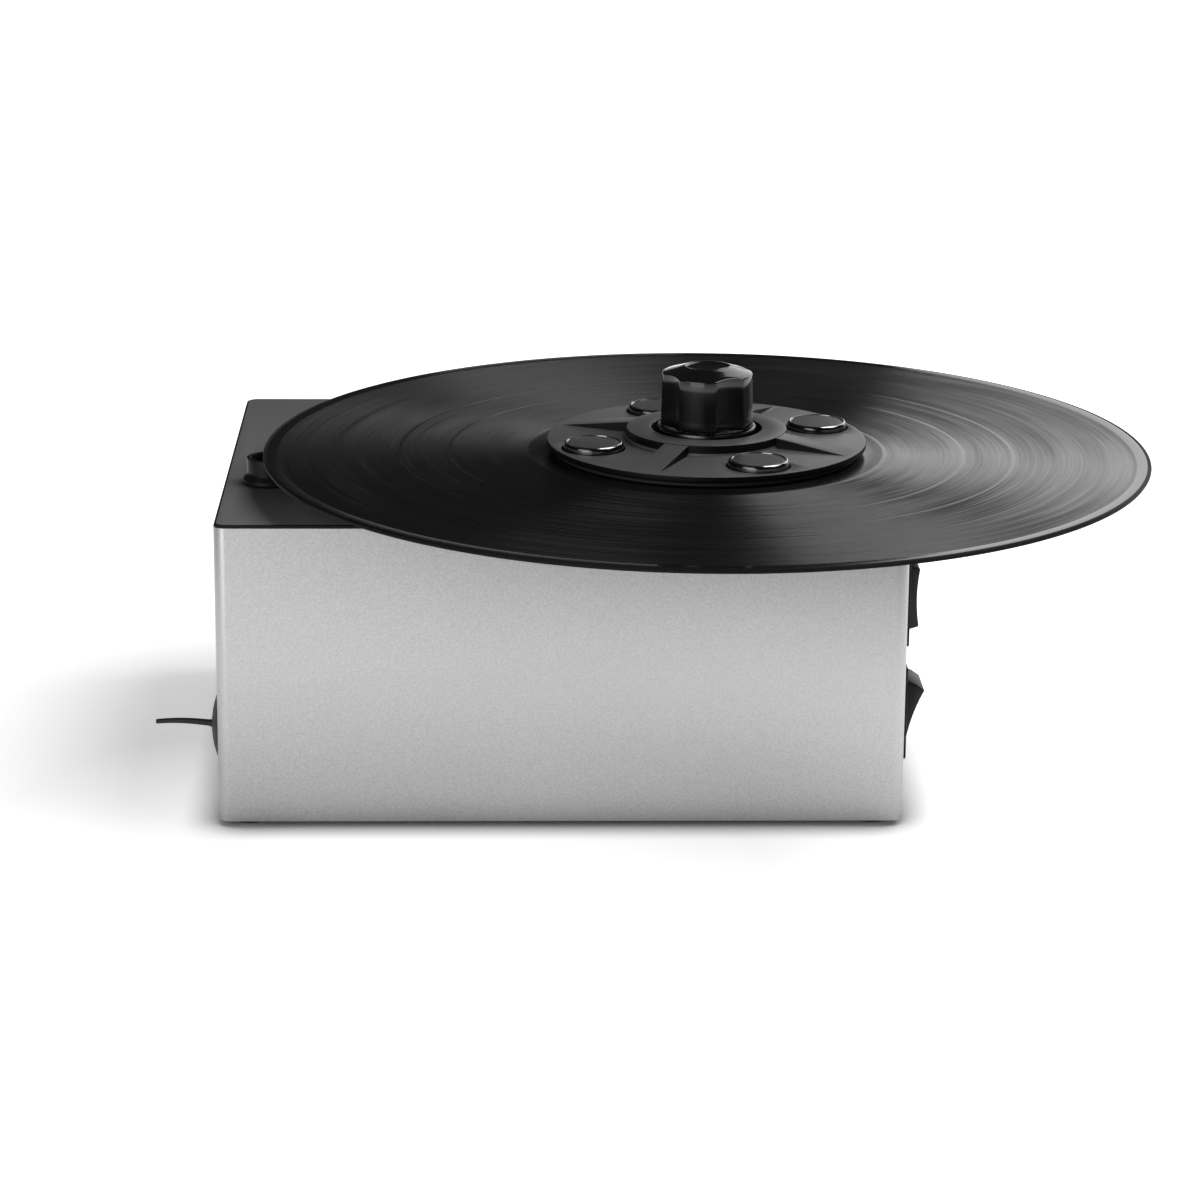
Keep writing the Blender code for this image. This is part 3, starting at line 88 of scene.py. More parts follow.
def vectors(tree, operation, *values):
    # a length or a distance comes out as a number, all else as a vector
    node = addNode(tree, "ShaderNodeVectorMath", dict(enumerate(values)), operation=operation)
    return node.outputs["Value" if operation in ("LENGTH", "DISTANCE") else "Vector"]


def remap(tree, value, low, high, fromLow=0.0, fromHigh=1.0):
    node = addNode(tree, "ShaderNodeMapRange", {"Value": value, "From Min": fromLow, "From Max": fromHigh,
                                                "To Min": low, "To Max": high})
    return node.outputs["Result"]


def mixNumbers(tree, share, first, second):
    return addNode(tree, "ShaderNodeMix", {"Factor": share, "A": first, "B": second}).outputs[0]


def mixColours(tree, share, first, second):
    # the mix node's colour sockets are its inputs 6 and 7 and its output 2
    return addNode(tree, "ShaderNodeMix", {0: share, 6: first, 7: second}, data_type="RGBA").outputs[2]


def tone(colour):
    # a single number is a plain grey
    return (*colour, 1) if isinstance(colour, tuple) else (colour, colour, colour, 1)


def tinted(tree, share, look):
    return mixColours(tree, remap(tree, share, 0, 1, *noiseSpan), tone(look["dark"]), tone(look["light"]))


def blended(tree, first, second, share):
    return maths(tree, "ADD", times(tree, first, 1 - share), times(tree, second, share))


def noise(tree, vector, scale, detail=2.0, roughness=0.5):
    return addNode(tree, "ShaderNodeTexNoise", {"Vector": vector, "Scale": scale, "Detail": detail,
                                                "Roughness": roughness}).outputs["Fac"]


def bumped(tree, height, strength, depth, values=None):
    return addNode(tree, "ShaderNodeBump", {"Height": height, "Strength": strength, "Distance": depth,
                                            **(values or {})}).outputs[0]


def newMaterial(name, constants):
    material = bpy.data.materials.new(name)
    material.use_nodes = True
    tree = material.node_tree
    shader = tree.nodes["Principled BSDF"]
    for socket, value in constants.items():
        shader.inputs[socket].default_value = value
    coords = tree.nodes.new("ShaderNodeTexCoord").outputs["Object"]
    return material, tree, shader, coords


def linkShader(tree, shader, links):
    for socket, value in links.items():
        tree.links.new(value, shader.inputs[socket])


def makeFinish(name, look):
    # a finish with a fine grain in its bump and gloss and a broad, faint drift in its colour
    material, tree, shader, coords = newMaterial(name, {
        "Metallic": look.get("metal", 0), "Specular IOR Level": look.get("shine", 0.5), **look.get("sockets", {})})
    stretch = addNode(tree, "ShaderNodeMapping", {"Vector": coords, "Scale": look.get("stretch", (1, 1, 1))})
    fine = noise(tree, stretch.outputs[0], look["grain"], 3.0)
    broad = noise(tree, coords, look["drift"])
    linkShader(tree, shader, {
        "Base Color": tinted(tree, blended(tree, fine, broad, look.get("drifting", 0.45)), look),
        "Roughness": remap(tree, fine, *look["rough"], *glossSpan),
        "Normal": bumped(tree, fine, look.get("strength", 0.4), look["depth"])})
    return material


finishes = {  # grain and drift are in waves a metre, depth is the grain's in metres
    "satinSilver": {"dark": 0.365, "light": 0.50, "grain": 2000, "drift": 9, "drifting": 0.12,
                    "rough": (0.36, 0.50), "depth": 0.00004, "strength": 0.6, "metal": 1.0},
    "plateBlack": {"dark": (0.13, 0.13, 0.133), "light": (0.16, 0.16, 0.165), "grain": 3600, "drift": 8,
                   "rough": (0.40, 0.48), "depth": 0.000004, "shine": 1.0},
    "plateEdge": {"dark": 0.005, "light": 0.009, "grain": 3600, "drift": 20, "rough": (0.55, 0.70),
                  "depth": 0.000004, "shine": 0.2},
    # the clamp's black in two copies: one painted lighter for faces that look up, one painted near-black as shade
    # for the sides
    "clampBlackPaintedLighter": {"dark": (0.060, 0.060, 0.061), "light": (0.080, 0.080, 0.082), "grain": 3800, "drift": 30,
                   "rough": (0.40, 0.50), "depth": 0.00001, "shine": 0.75},
    "clampBlackPaintedShade": {"dark": 0.002, "light": 0.004, "grain": 3800, "drift": 30, "rough": (0.40, 0.50),
                  "depth": 0.00001, "shine": 0.1},
    "panelBlack": {"dark": (0.022, 0.022, 0.023), "light": (0.034, 0.034, 0.036), "grain": 3800, "drift": 12,
                   "rough": (0.38, 0.50), "depth": 0.00001, "shine": 0.3},
    "knobBlack": {"dark": (0.004, 0.004, 0.0045), "light": (0.008, 0.008, 0.009), "grain": 4200, "drift": 60,
                  "rough": (0.08, 0.14), "depth": 0.000004},
    "polishedSteel": {"dark": 0.62, "light": 0.80, "grain": 900, "drift": 60, "rough": (0.05, 0.14),
                      "depth": 0.000004, "metal": 1.0},
    # the collar's steel is painted near-black: painted shade and painted dark reflection for the bore between knob
    # and hub
    "collarShadedSteel": {"dark": 0.05, "light": 0.08, "grain": 900, "drift": 60, "rough": (0.20, 0.30),
                    "depth": 0.000004, "metal": 1.0},
    "plainSteel": {"dark": (0.36, 0.37, 0.38), "light": (0.54, 0.55, 0.56), "grain": 1500, "drift": 18,
                   "rough": (0.28, 0.42), "depth": 0.00001, "stretch": (0.08, 1, 1), "metal": 1.0},
    "turnedAluminium": {"dark": (0.58, 0.59, 0.60), "light": (0.74, 0.75, 0.76), "grain": 1800, "drift": 20,
                        "rough": (0.22, 0.34), "depth": 0.000008, "stretch": (1, 1, 0.1), "metal": 1.0},
    "turnedBrass": {"dark": (0.52, 0.36, 0.13), "light": (0.74, 0.56, 0.26), "grain": 1600, "drift": 25,
                    "rough": (0.22, 0.36), "depth": 0.000008, "stretch": (1, 1, 0.1), "metal": 1.0},
    "blackRubber": {"dark": 0.010, "light": 0.022, "grain": 2400, "drift": 40, "rough": (0.58, 0.74),
                    "depth": 0.00003},
    "mouldedBlack": {"dark": (0.005, 0.005, 0.0055), "light": (0.010, 0.010, 0.011), "grain": 3000, "drift": 35,
                     "rough": (0.34, 0.46), "depth": 0.00002, "shine": 0.14},
    "switchBlack": {"dark": (0.009, 0.009, 0.0095), "light": (0.017, 0.017, 0.018), "grain": 3400, "drift": 40,
                    "rough": (0.38, 0.50), "depth": 0.00002, "shine": 0.25},
    "tankWhite": {"dark": (0.62, 0.64, 0.63), "light": (0.74, 0.75, 0.74), "grain": 600, "drift": 14,
                  "rough": (0.30, 0.42), "depth": 0.00003,
                  "sockets": {"Subsurface Weight": 0.15, "Subsurface Scale": 0.003}},
    "pressedCork": {"dark": (0.20, 0.11, 0.05), "light": (0.48, 0.32, 0.18), "grain": 700, "drift": 220,
                    "rough": (0.78, 0.92), "depth": 0.0001, "strength": 0.7},
    "milkyNylon": {"dark": (0.68, 0.66, 0.60), "light": (0.80, 0.79, 0.74), "grain": 900, "drift": 30,
                   "rough": (0.36, 0.48), "depth": 0.00001,
                   "sockets": {"Subsurface Weight": 0.2, "Subsurface Scale": 0.002}},
    "stackedIron": {"dark": (0.07, 0.07, 0.075), "light": (0.24, 0.24, 0.25), "grain": 1400, "drift": 30,
                    "rough": (0.35, 0.60), "depth": 0.0001, "strength": 0.8, "stretch": (0.02, 1, 0.02),
                    "metal": 0.8},
    "coilTape": {"dark": (0.52, 0.38, 0.06), "light": (0.70, 0.56, 0.14), "grain": 800, "drift": 60,
                 "rough": (0.30, 0.46), "depth": 0.00006, "stretch": (0.1, 0.1, 1)},
    "boardGreen": {"dark": (0.010, 0.085, 0.035), "light": (0.025, 0.17, 0.075), "grain": 500, "drift": 120,
                   "rough": (0.28, 0.42), "depth": 0.00003},
}
finish = {name: makeFinish(name, look) for name, look in finishes.items()}
print("finishes made:", len(finish))


def levelOffset(tree, coords, middle):
    # from an upright axis to the point, without the height
    return vectors(tree, "MULTIPLY", vectors(tree, "SUBTRACT", coords, middle), (1, 1, 0))


def toWorld(tree, vector):
    return addNode(tree, "ShaderNodeVectorTransform", {0: vector}, vector_type="VECTOR",
                   convert_from="OBJECT", convert_to="WORLD").outputs[0]


vinyl = {"dark": (0.0035, 0.0035, 0.004), "light": (0.008, 0.008, 0.0085), "paper": (0.42, 0.41, 0.39),
         "rough": (0.26, 0.50), "smoothRough": 0.16, "trimmedRough": 0.7, "paperRough": 0.8,
         "ringsPerMetre": 900, "drift": 1.6, "broader": 0.12, "broadInGloss": 0.4, "broadInLean": 0.3,
         "leadIn": 146.0 * mm, "leadInFade": 0.3 * mm, "gaps": ((104.5 * mm, 0.9 * mm), (87.7 * mm, 0.9 * mm)),
         "gapSmooth": 0.7, "runOut": 60 * mm, "runOutFade": 2 * mm, "label": 50 * mm, "strength": 0.5,
         "depth": 0.00004, "lean": (0.08, 0.62), "leanSpan": (0.35, 0.65), "trimmed": 149.4 * mm,
         "trimmedShine": 0.12, "stretch": 0.95, "sockets": {"IOR": 1.54}}


def vinylFinish(look):
    # grooves run round the spindle: gloss is stretched outwards and changes from ring to ring
    material, tree, shader, coords = newMaterial("groovedVinyl", look["sockets"])
    flat = levelOffset(tree, coords, (axisX, 0, 0))
    radius = vectors(tree, "LENGTH", flat)
    outward = vectors(tree, "NORMALIZE", flat)
    around = addNode(tree, "ShaderNodeSeparateXYZ", {0: outward})
    ringPlace = addNode(tree, "ShaderNodeCombineXYZ", {
        0: times(tree, around.outputs[0], look["drift"]),
        1: times(tree, around.outputs[1], look["drift"]),
        2: times(tree, radius, look["ringsPerMetre"])}).outputs[0]
    rings = noise(tree, ringPlace, 1.0, 4.0, 0.65)
    wide = noise(tree, vectors(tree, "MULTIPLY", ringPlace, (1, 1, look["broader"])), 1.0)
    # one where the surface is smooth: lead-in rim, gaps between tracks, run-out and label
    smooth = remap(tree, radius, 0, 1, look["leadIn"] - look["leadInFade"], look["leadIn"] + look["leadInFade"])
    for gapRadius, gapWidth in look["gaps"]:
        away = maths(tree, "ABSOLUTE", maths(tree, "SUBTRACT", radius, gapRadius))
        smooth = maths(tree, "MAXIMUM", smooth, remap(tree, away, look["gapSmooth"], 0, 0, gapWidth))
    inner = remap(tree, radius, 1, 0, look["runOut"], look["runOut"] + look["runOutFade"])
    smooth = maths(tree, "MAXIMUM", smooth, inner)
    grooved = maths(tree, "SUBTRACT", 1.0, smooth)
    label = maths(tree, "LESS_THAN", radius, look["label"])
    trimmed = maths(tree, "GREATER_THAN", radius, look["trimmed"])
    rough = remap(tree, blended(tree, rings, wide, look["broadInGloss"]), *look["rough"], *noiseSpan)
    for where, value in ((smooth, look["smoothRough"]), (trimmed, look["trimmedRough"]),
                         (label, look["paperRough"])):
        rough = mixNumbers(tree, where, rough, value)
    # the outer wall of each groove shows more than the inner one, so grooved bands lean outwards
    angle = remap(tree, blended(tree, rings, wide, look["broadInLean"]), *look["lean"], *look["leanSpan"])
    lean = addNode(tree, "ShaderNodeVectorMath", {0: toWorld(tree, outward), "Scale": times(tree, grooved, angle)},
                   operation="SCALE").outputs[0]
    normal = tree.nodes.new("ShaderNodeNewGeometry").outputs["Normal"]
    leaning = vectors(tree, "NORMALIZE", vectors(tree, "ADD", normal, lean))
    linkShader(tree, shader, {
        "Base Color": mixColours(tree, label, tinted(tree, rings, look), tone(look["paper"])),
        "Roughness": rough,
        "Specular IOR Level": remap(tree, trimmed, 0.5, look["trimmedShine"]),
        "Anisotropic": remap(tree, label, look["stretch"], 0),  # paper has no grooves to stretch it
        # the downward part counts only on the rim, where outward alone is the normal
        "Tangent": toWorld(tree, vectors(tree, "SUBTRACT", outward, (0, 0, 1))),
        "Normal": bumped(tree, times(tree, rings, grooved), look["strength"], look["depth"],
                         {"Normal": leaning})})
    return material


finish["groovedVinyl"] = vinylFinish(vinyl)


# geometry trees

def newTree(name, *inputs):
    tree = bpy.data.node_groups.new(name, "GeometryNodeTree")
    sockets = {}
    for label, kind in (("Geometry", "Geometry"), *inputs):
        sockets[label] = tree.interface.new_socket(label, in_out="INPUT",
                                                   socket_type="NodeSocket" + kind).identifier
    tree.interface.new_socket("Geometry", in_out="OUTPUT", socket_type="NodeSocketGeometry")
    entry = tree.nodes.new("NodeGroupInput")
    return tree, entry.outputs, sockets


def closeTree(tree, geometry, material):
    # every tree ends the same way
    real = addNode(tree, "GeometryNodeRealizeInstances", {0: geometry})
    painted = addNode(tree, "GeometryNodeSetMaterial", {"Geometry": real.outputs[0], "Material": material})
    out = tree.nodes.new("NodeGroupOutput")
    tree.links.new(painted.outputs[0], out.inputs[0])


def roundAxis(tree, radius, angle, height=0.0):
    return addNode(tree, "ShaderNodeCombineXYZ", {
        0: times(tree, radius, maths(tree, "COSINE", angle)),
        1: times(tree, radius, maths(tree, "SINE", angle)), 2: height}).outputs[0]


def addCopies(tree, points, piece, rotation):
    source = addNode(tree, "GeometryNodeObjectInfo", {"Object": piece})
    return addNode(tree, "GeometryNodeInstanceOnPoints", {
        "Points": points, "Instance": source.outputs["Geometry"], "Rotation": rotation}).outputs[0]


def makeTurnTree():
    # turns a profile of (radius, 0, height) points about the Z axis
    tree, entry, sockets = newTree("turnProfile", ("Steps", "Int"), ("Finish", "Material"))
    count = addNode(tree, "GeometryNodeAttributeDomainSize", {0: entry["Geometry"]}).outputs["Point Count"]
    across = maths(tree, "ADD", entry["Steps"], 1)
    grid = addNode(tree, "GeometryNodeMeshGrid", {"Size X": 1.0, "Size Y": 1.0, "Vertices X": count,
                                                  "Vertices Y": across})
    index = tree.nodes.new("GeometryNodeInputIndex").outputs[0]
    row = maths(tree, "FLOOR", maths(tree, "DIVIDE", maths(tree, "ADD", index, 0.5), across))
    step = maths(tree, "SUBTRACT", index, times(tree, row, across))
    place = tree.nodes.new("GeometryNodeInputPosition").outputs[0]
    corner = addNode(tree, "GeometryNodeSampleIndex", {
        "Geometry": entry["Geometry"], "Value": place, "Index": row}, data_type="FLOAT_VECTOR")
    corner = addNode(tree, "ShaderNodeSeparateXYZ", {0: corner.outputs[0]})
    angle = maths(tree, "DIVIDE", times(tree, step, turn), entry["Steps"])
    point = roundAxis(tree, corner.outputs[0], angle, corner.outputs[2])
    moved = addNode(tree, "GeometryNodeSetPosition", {"Geometry": grid.outputs[0], "Position": point})
    merged = addNode(tree, "GeometryNodeMergeByDistance", {"Geometry": moved.outputs[0],
                                                           "Distance": mergeWithin})
    closeTree(tree, merged.outputs[0], entry["Finish"])
    return tree, sockets


def makeRingTree():
    # copies a piece round a circle, each copy turned to face outwards
    tree, entry, sockets = newTree("ringOfCopies", ("Piece", "Object"), ("Count", "Int"), ("Radius", "Float"),
                                   ("First Angle", "Float"), ("Finish", "Material"))
    points = addNode(tree, "GeometryNodeMeshLine", {"Count": entry["Count"]})
    index = tree.nodes.new("GeometryNodeInputIndex").outputs[0]
    share = maths(tree, "DIVIDE", times(tree, index, turn), entry["Count"])
    angle = maths(tree, "ADD", entry["First Angle"], share)
    placed = addNode(tree, "GeometryNodeSetPosition", {
        "Geometry": points.outputs[0], "Position": roundAxis(tree, entry["Radius"], angle)})
    facing = addNode(tree, "ShaderNodeCombineXYZ", {2: angle})
    copies = addCopies(tree, placed.outputs[0], entry["Piece"], facing.outputs[0])
    closeTree(tree, copies, entry["Finish"])
    return tree, sockets


def makeCopyTree():
    # copies a piece to every point of a mesh, all turned the same way
    tree, entry, sockets = newTree("copiesAtPoints", ("Piece", "Object"), ("Facing", "Rotation"),
                                   ("Finish", "Material"))
    closeTree(tree, addCopies(tree, entry["Geometry"], entry["Piece"], entry["Facing"]), entry["Finish"])
    return tree, sockets


turnTree = makeTurnTree()
ringTree = makeRingTree()
copyTree = makeCopyTree()


# tools that every piece shares

def newObject(name, mesh):
    thing = bpy.data.objects.new(name, mesh)
    bpy.context.scene.collection.objects.link(thing)
    return thing


def pointMesh(name, points, joined=False):
    mesh = bpy.data.meshes.new(name)
    edges = [(i, i + 1) for i in range(len(points) - 1)] if joined else []
    mesh.from_pydata([tuple(point) for point in points], edges, [])
    return mesh


def asMesh(thing):
    # what a thing's modifiers or its curve make, as a plain mesh
    bpy.context.view_layer.update()
    return bpy.data.meshes.new_from_object(thing.evaluated_get(bpy.context.evaluated_depsgraph_get()))


def applyModifiers(thing):
    mesh = asMesh(thing)
    thing.modifiers.clear()
    thing.data = mesh
    return mesh


def clean(mesh, within=mergeWithin, flatAngle=0, outwards=True):
    # merges doubles, joins faces that lie flat together and points them outwards
    bm = bmesh.new()
    bm.from_mesh(mesh)
    bmesh.ops.remove_doubles(bm, verts=bm.verts, dist=within)
    if flatAngle:
        bmesh.ops.dissolve_limit(bm, angle_limit=math.radians(flatAngle), verts=bm.verts, edges=bm.edges)
    if outwards:
        bmesh.ops.recalc_face_normals(bm, faces=bm.faces)
    bm.to_mesh(mesh)
    bm.free()


def settle(thing, smoothAngle=35, shift=(0, 0, 0), facing=None):
    # turns what the modifiers make into a plain mesh that sits in the world's own frame
    mesh = applyModifiers(thing)
    if facing:
        mesh.transform(facing.to_4x4())
    mesh.transform(Matrix.Translation(shift))
    clean(mesh)
    for face in mesh.polygons:
        face.use_smooth = True
    mesh.set_sharp_from_angle(angle=math.radians(smoothAngle))
    return thing


def useTree(thing, name, treeAndSockets, values):
    tree, sockets = treeAndSockets
    modifier = thing.modifiers.new(name, "NODES")
    modifier.node_group = tree
    for label, value in values.items():
        modifier[sockets[label]] = value
    return thing


def turned(name, profile, steps, look, shift=(0, 0, 0), facing=None, smoothAngle=35):
    thing = newObject(name, pointMesh(name, [(radius, 0, height) for radius, height in profile], joined=True))
    useTree(thing, "turn", turnTree, {"Steps": steps, "Finish": finish[look]})
    return settle(thing, smoothAngle, shift, facing)


def ringOf(name, piece, count, radius, firstAngle, look, smoothAngle=35, shift=(0, 0, 0)):
    ring = useTree(newObject(name, bpy.data.meshes.new(name)), "ring", ringTree, {
        "Piece": piece, "Count": count, "Radius": radius, "First Angle": firstAngle, "Finish": finish[look]})
    settle(ring, smoothAngle, shift)
    bpy.data.objects.remove(piece)
    return ring


def copiesAt(name, piece, places, look, smoothAngle=35, facing=(0.0, 0.0, 0.0)):
    copies = useTree(newObject(name, pointMesh(name, places)), "copies", copyTree, {
        "Piece": piece, "Facing": facing, "Finish": finish[look]})
    return settle(copies, smoothAngle)


def carve(thing, tool, operation="DIFFERENCE"):
    modifier = thing.modifiers.new("carve", "BOOLEAN")
    modifier.operation = operation
    modifier.solver = "EXACT"
    modifier.object = tool
    applyModifiers(thing)
    bpy.data.objects.remove(tool)
    return thing


def easeEdges(thing, width):
    modifier = thing.modifiers.new("ease", "BEVEL")
    modifier.width = width
    modifier.segments = 2
    modifier.limit_method = "ANGLE"
    modifier.angle_limit = easedAbove
    modifier.harden_normals = False
    return thing


def arcPoints(centre, radius, start, end, count):
    return [(centre[0] + radius * math.cos(start + (end - start) * i / count),
             centre[1] + radius * math.sin(start + (end - start) * i / count)) for i in range(count + 1)]


def roundedBox(lowX, highX, lowY, highY, radius, count):
    corners = ((highX - radius, highY - radius), (lowX + radius, highY - radius),
               (lowX + radius, lowY + radius), (highX - radius, lowY + radius))
    points = []
    for i, corner in enumerate(corners):
        points += arcPoints(corner, radius, i * turn / 4, (i + 1) * turn / 4, count)
    return points


def slab(name, loops, low, high):
    # flat outlines filled between one another and made solid between two heights
    curve = bpy.data.curves.new(name, "CURVE")
    curve.dimensions = "2D"
    curve.fill_mode = "BOTH"
    curve.extrude = (high - low) / 2
    for loop in loops:
        spline = curve.splines.new("POLY")
        spline.points.add(len(loop) - 1)
        for point, (x, y) in zip(spline.points, loop):
            point.co = (x, y, 0, 1)
        spline.use_cyclic_u = True
    outline = newObject(name + "Outline", curve)
    mesh = asMesh(outline)
    mesh.transform(Matrix.Translation((0, 0, (low + high) / 2)))
    bpy.data.objects.remove(outline)
    bpy.data.curves.remove(curve)
    clean(mesh, flatAngle=0.5)
    return newObject(name, mesh)


def block(name, low, high):
    return slab(name, [[(low[0], low[1]), (high[0], low[1]), (high[0], high[1]), (low[0], high[1])]],
                low[2], high[2])


def paint(thing, look):
    thing.data.materials.clear()
    thing.data.materials.append(finish[look])
    return thing


def handOver(thing, body, slot, *nodes):
    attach(thing, body)
    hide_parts(*nodes)
    return thing


def roundBox(node):
    # a round node's radius, bottom and top
    low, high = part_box(node)
    return (high.x - low.x) / 2, low.z, high.z


def middleOf(node):
    return sum(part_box(node), Vector()) / 2


def edgePoints(radius, height, *steps):
    # points of a profile, by how many millimetres they lie in and down from an edge
    return [(radius - inward * mm, height - down * mm) for inward, down in steps]


# record: a turned disc with a lead-in rim and a label well

recordShape = {"steps": 256, "radius": 150.8 * mm, "hole": 3.62 * mm, "label": 50 * mm, "labelEdge": 0.5 * mm,
               "runOut": 58 * mm, "groove": 61 * mm, "leadIn": 145.2 * mm, "leadInEdge": 1.0 * mm,
               "sink": 0.2 * mm}


def makeRecord(shape):
    top, bottom = recordTop, recordBottom
    label, leadIn, sink = shape["label"], shape["leadIn"], shape["sink"]
    face = [(shape["hole"], 0), (label, 0), (label + shape["labelEdge"], sink / 2), (shape["runOut"], sink / 2),
            (shape["groove"], sink), (leadIn, sink), (leadIn + shape["leadInEdge"], sink / 3)]
    # the trimmed rim is sharp above and drawn in below
    rim = edgePoints(shape["radius"], top, (2.2, 0), (0.5, 0.04), (0.18, 0.14), (0.04, 0.34), (0, 0.55),
                     (0.08, 0.8))
    rim += edgePoints(shape["radius"], bottom, (0.5, -0.35), (2.0, -0.05), (2.4, 0))
    profile = [(r, top - drop) for r, drop in face] + rim + [(r, bottom + drop) for r, drop in reversed(face)]
    disc = turned("vinylRecord", [*profile, profile[0]], shape["steps"], "groovedVinyl", (axisX, 0, 0))
    handOver(disc, "record", "vinyl", "record")


makeRecord(recordShape)
print("record made")

# clamp: ribbed disc, seal, collar ring and four weights

clamp = {"steps": 192, "radius": 54.4 * mm, "inset": 1.2 * mm, "flange": 2 * mm, "top": 4.1 * mm,
         "floor": 3.4 * mm, "hubOuter": 27.3 * mm, "hubBore": 18.8 * mm, "pinBore": 4.2 * mm,
         "ribs": 4, "ribWidth": 8.5 * mm, "ribInner": 22 * mm, "ribStart": 27 * mm, "ribEnd": 53.2 * mm,
         "ribAngle": math.radians(-115), "weights": 4, "weightAngle": math.radians(-158.6),
         "weightCircle": 41.8 * mm, "weightTop": (  # radius and drop in millimetres, across top and groove
             (0, 0.12), (6.0, 0.12), (8.55, 0.2), (8.7, 0.34), (8.95, 0.34), (9.1, 0.06), (9.3, 0), (9.6, 0.05)),
         "pocket": 10.8 * mm, "pocketFloor": 0.8 * mm, "ease": 0.22 * mm, "paintedShadeBelow": 0.35,
         "wellDepth": 0.3 * mm, "well": 13.5 * mm, "wellEdge": 14.0 * mm, "collarHeight": 2.6 * mm,
         "collarFoot": 13 * mm, "sealWidth": 6.5 * mm}


def makeClampDisc(shape):
    low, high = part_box("clamp_disc")
    top, floor, hub = recordTop + shape["top"], recordTop + shape["floor"], high.z
    outer, hubOuter, bore, pin = shape["radius"], shape["hubOuter"], shape["hubBore"], shape["pinBore"]
    under, foot = top - shape["flange"], outer - shape["inset"]
    profile = [(pin, floor), (bore, floor), *edgePoints(bore, hub, (0, 0.4), (-0.1, 0.12), (-0.4, 0)),
               *edgePoints(hubOuter, hub, (0.4, 0), (0.1, 0.12), (0, 0.4)),
               *edgePoints(hubOuter, top, (0, -1.0), (-0.3, -0.3), (-1.0, 0)),
               *edgePoints(outer, top, (0.5, 0), (0.12, 0.12), (0, 0.45)),
               *edgePoints(outer, under, (0, -0.25), (0.25, 0)),
               (foot, under), (foot, low.z), (pin, low.z), (pin, floor)]
    disc = turned("clampDisc", profile, shape["steps"], "clampBlackPaintedLighter")
    # one rib lying along X, then copied round by the ring tree
    ribTop = hub - 0.3 * mm
    outline = [(shape["ribInner"], floor), (shape["ribEnd"], floor), (shape["ribEnd"], top - 0.2 * mm),
               (shape["ribStart"], ribTop), (shape["ribInner"], ribTop)]
    rib = slab("rib", [outline], -shape["ribWidth"] / 2, shape["ribWidth"] / 2)
    rib.data.transform(upright)
    carve(disc, ringOf("ribs", rib, shape["ribs"], 0.0, shape["ribAngle"], "clampBlackPaintedLighter"), "UNION")
    pocketFloor = low.z + shape["pocketFloor"]
    pocket = turned("pocket", [(0, pocketFloor), (shape["pocket"], pocketFloor), (shape["pocket"], hub), (0, hub)],
                    64, "clampBlackPaintedLighter")
    carve(disc, ringOf("pockets", pocket, shape["weights"], shape["weightCircle"], shape["weightAngle"],
                       "clampBlackPaintedLighter"))
    easeEdges(disc, shape["ease"])
    settle(disc, 30, (axisX, 0, 0))
    # faces that don't look up take the copy painted near-black as shade, and faces that look up keep the copy
    # painted lighter
    paint(disc, "clampBlackPaintedLighter").data.materials.append(finish["clampBlackPaintedShade"])
    for face in disc.data.polygons:
        face.material_index = int(face.normal.z < shape["paintedShadeBelow"])
    handOver(disc, "clamp", "satin_black", "clamp_disc")


def makeWeights(shape):
    radius, bottom, top = roundBox("clamp_weight_front")
    profile = [(out * mm, top - drop * mm) for out, drop in shape["weightTop"]]
    profile += edgePoints(radius, top, (0.4, 0.28), (0.12, 0.65), (0, 1.15)) + [(radius, bottom), (0, bottom)]
    weight = turned("weight", profile, 96, "polishedSteel")
    weights = ringOf("clampWeights", weight, shape["weights"], shape["weightCircle"], shape["weightAngle"],
                     "weightSteel", 40, (axisX, 0, 0))
    handOver(weights, "clamp", "chrome", "clamp_weight_left", "clamp_weight_front", "clamp_weight_right",
             "clamp_weight_rear")


# the dark colour outside the rim is painted shade, for the pocket round each weight
weightLook = {"topRadius": 8.75 * mm, "paintedShadeRadius": 9.75 * mm, "grain": 2600, "dark": 0.05,
              "light": (0.26, 0.25, 0.24), "topRough": (0.30, 0.50), "rim": 0.42, "paintedPocketShade": 0.10,
              "rimRough": 0.16, "strength": 0.5, "depth": 0.00003}


def weightFinish(look):
    # grained top, polished rim and a dark outer ring painted as the pocket's shade, told apart by the distance from
    # the nearest weight's middle
    material, tree, shader, coords = newMaterial("weightSteel", {"Metallic": 1.0})
    nearest = None
    for i in range(clamp["weights"]):
        angle = clamp["weightAngle"] + turn * i / clamp["weights"]
        middle = (axisX + clamp["weightCircle"] * math.cos(angle), clamp["weightCircle"] * math.sin(angle), 0)
        away = vectors(tree, "LENGTH", levelOffset(tree, coords, middle))
        nearest = maths(tree, "MINIMUM", nearest, away) if nearest else away
    onTop = maths(tree, "LESS_THAN", nearest, look["topRadius"])
    outside = maths(tree, "SUBTRACT", 1.0, maths(tree, "LESS_THAN", nearest, look["paintedShadeRadius"]))
    grain = noise(tree, coords, look["grain"], 3.0)
    # outside the rim the colour turns to the painted shade
    rim = mixColours(tree, outside, tone(look["rim"]), tone(look["paintedPocketShade"]))
    linkShader(tree, shader, {
        "Base Color": mixColours(tree, onTop, rim, tinted(tree, grain, look)),
        "Roughness": mixNumbers(tree, onTop, look["rimRough"], remap(tree, grain, *look["topRough"], *noiseSpan)),
        "Normal": bumped(tree, times(tree, grain, onTop), look["strength"], look["depth"])})
    return material


finish["weightSteel"] = weightFinish(weightLook)


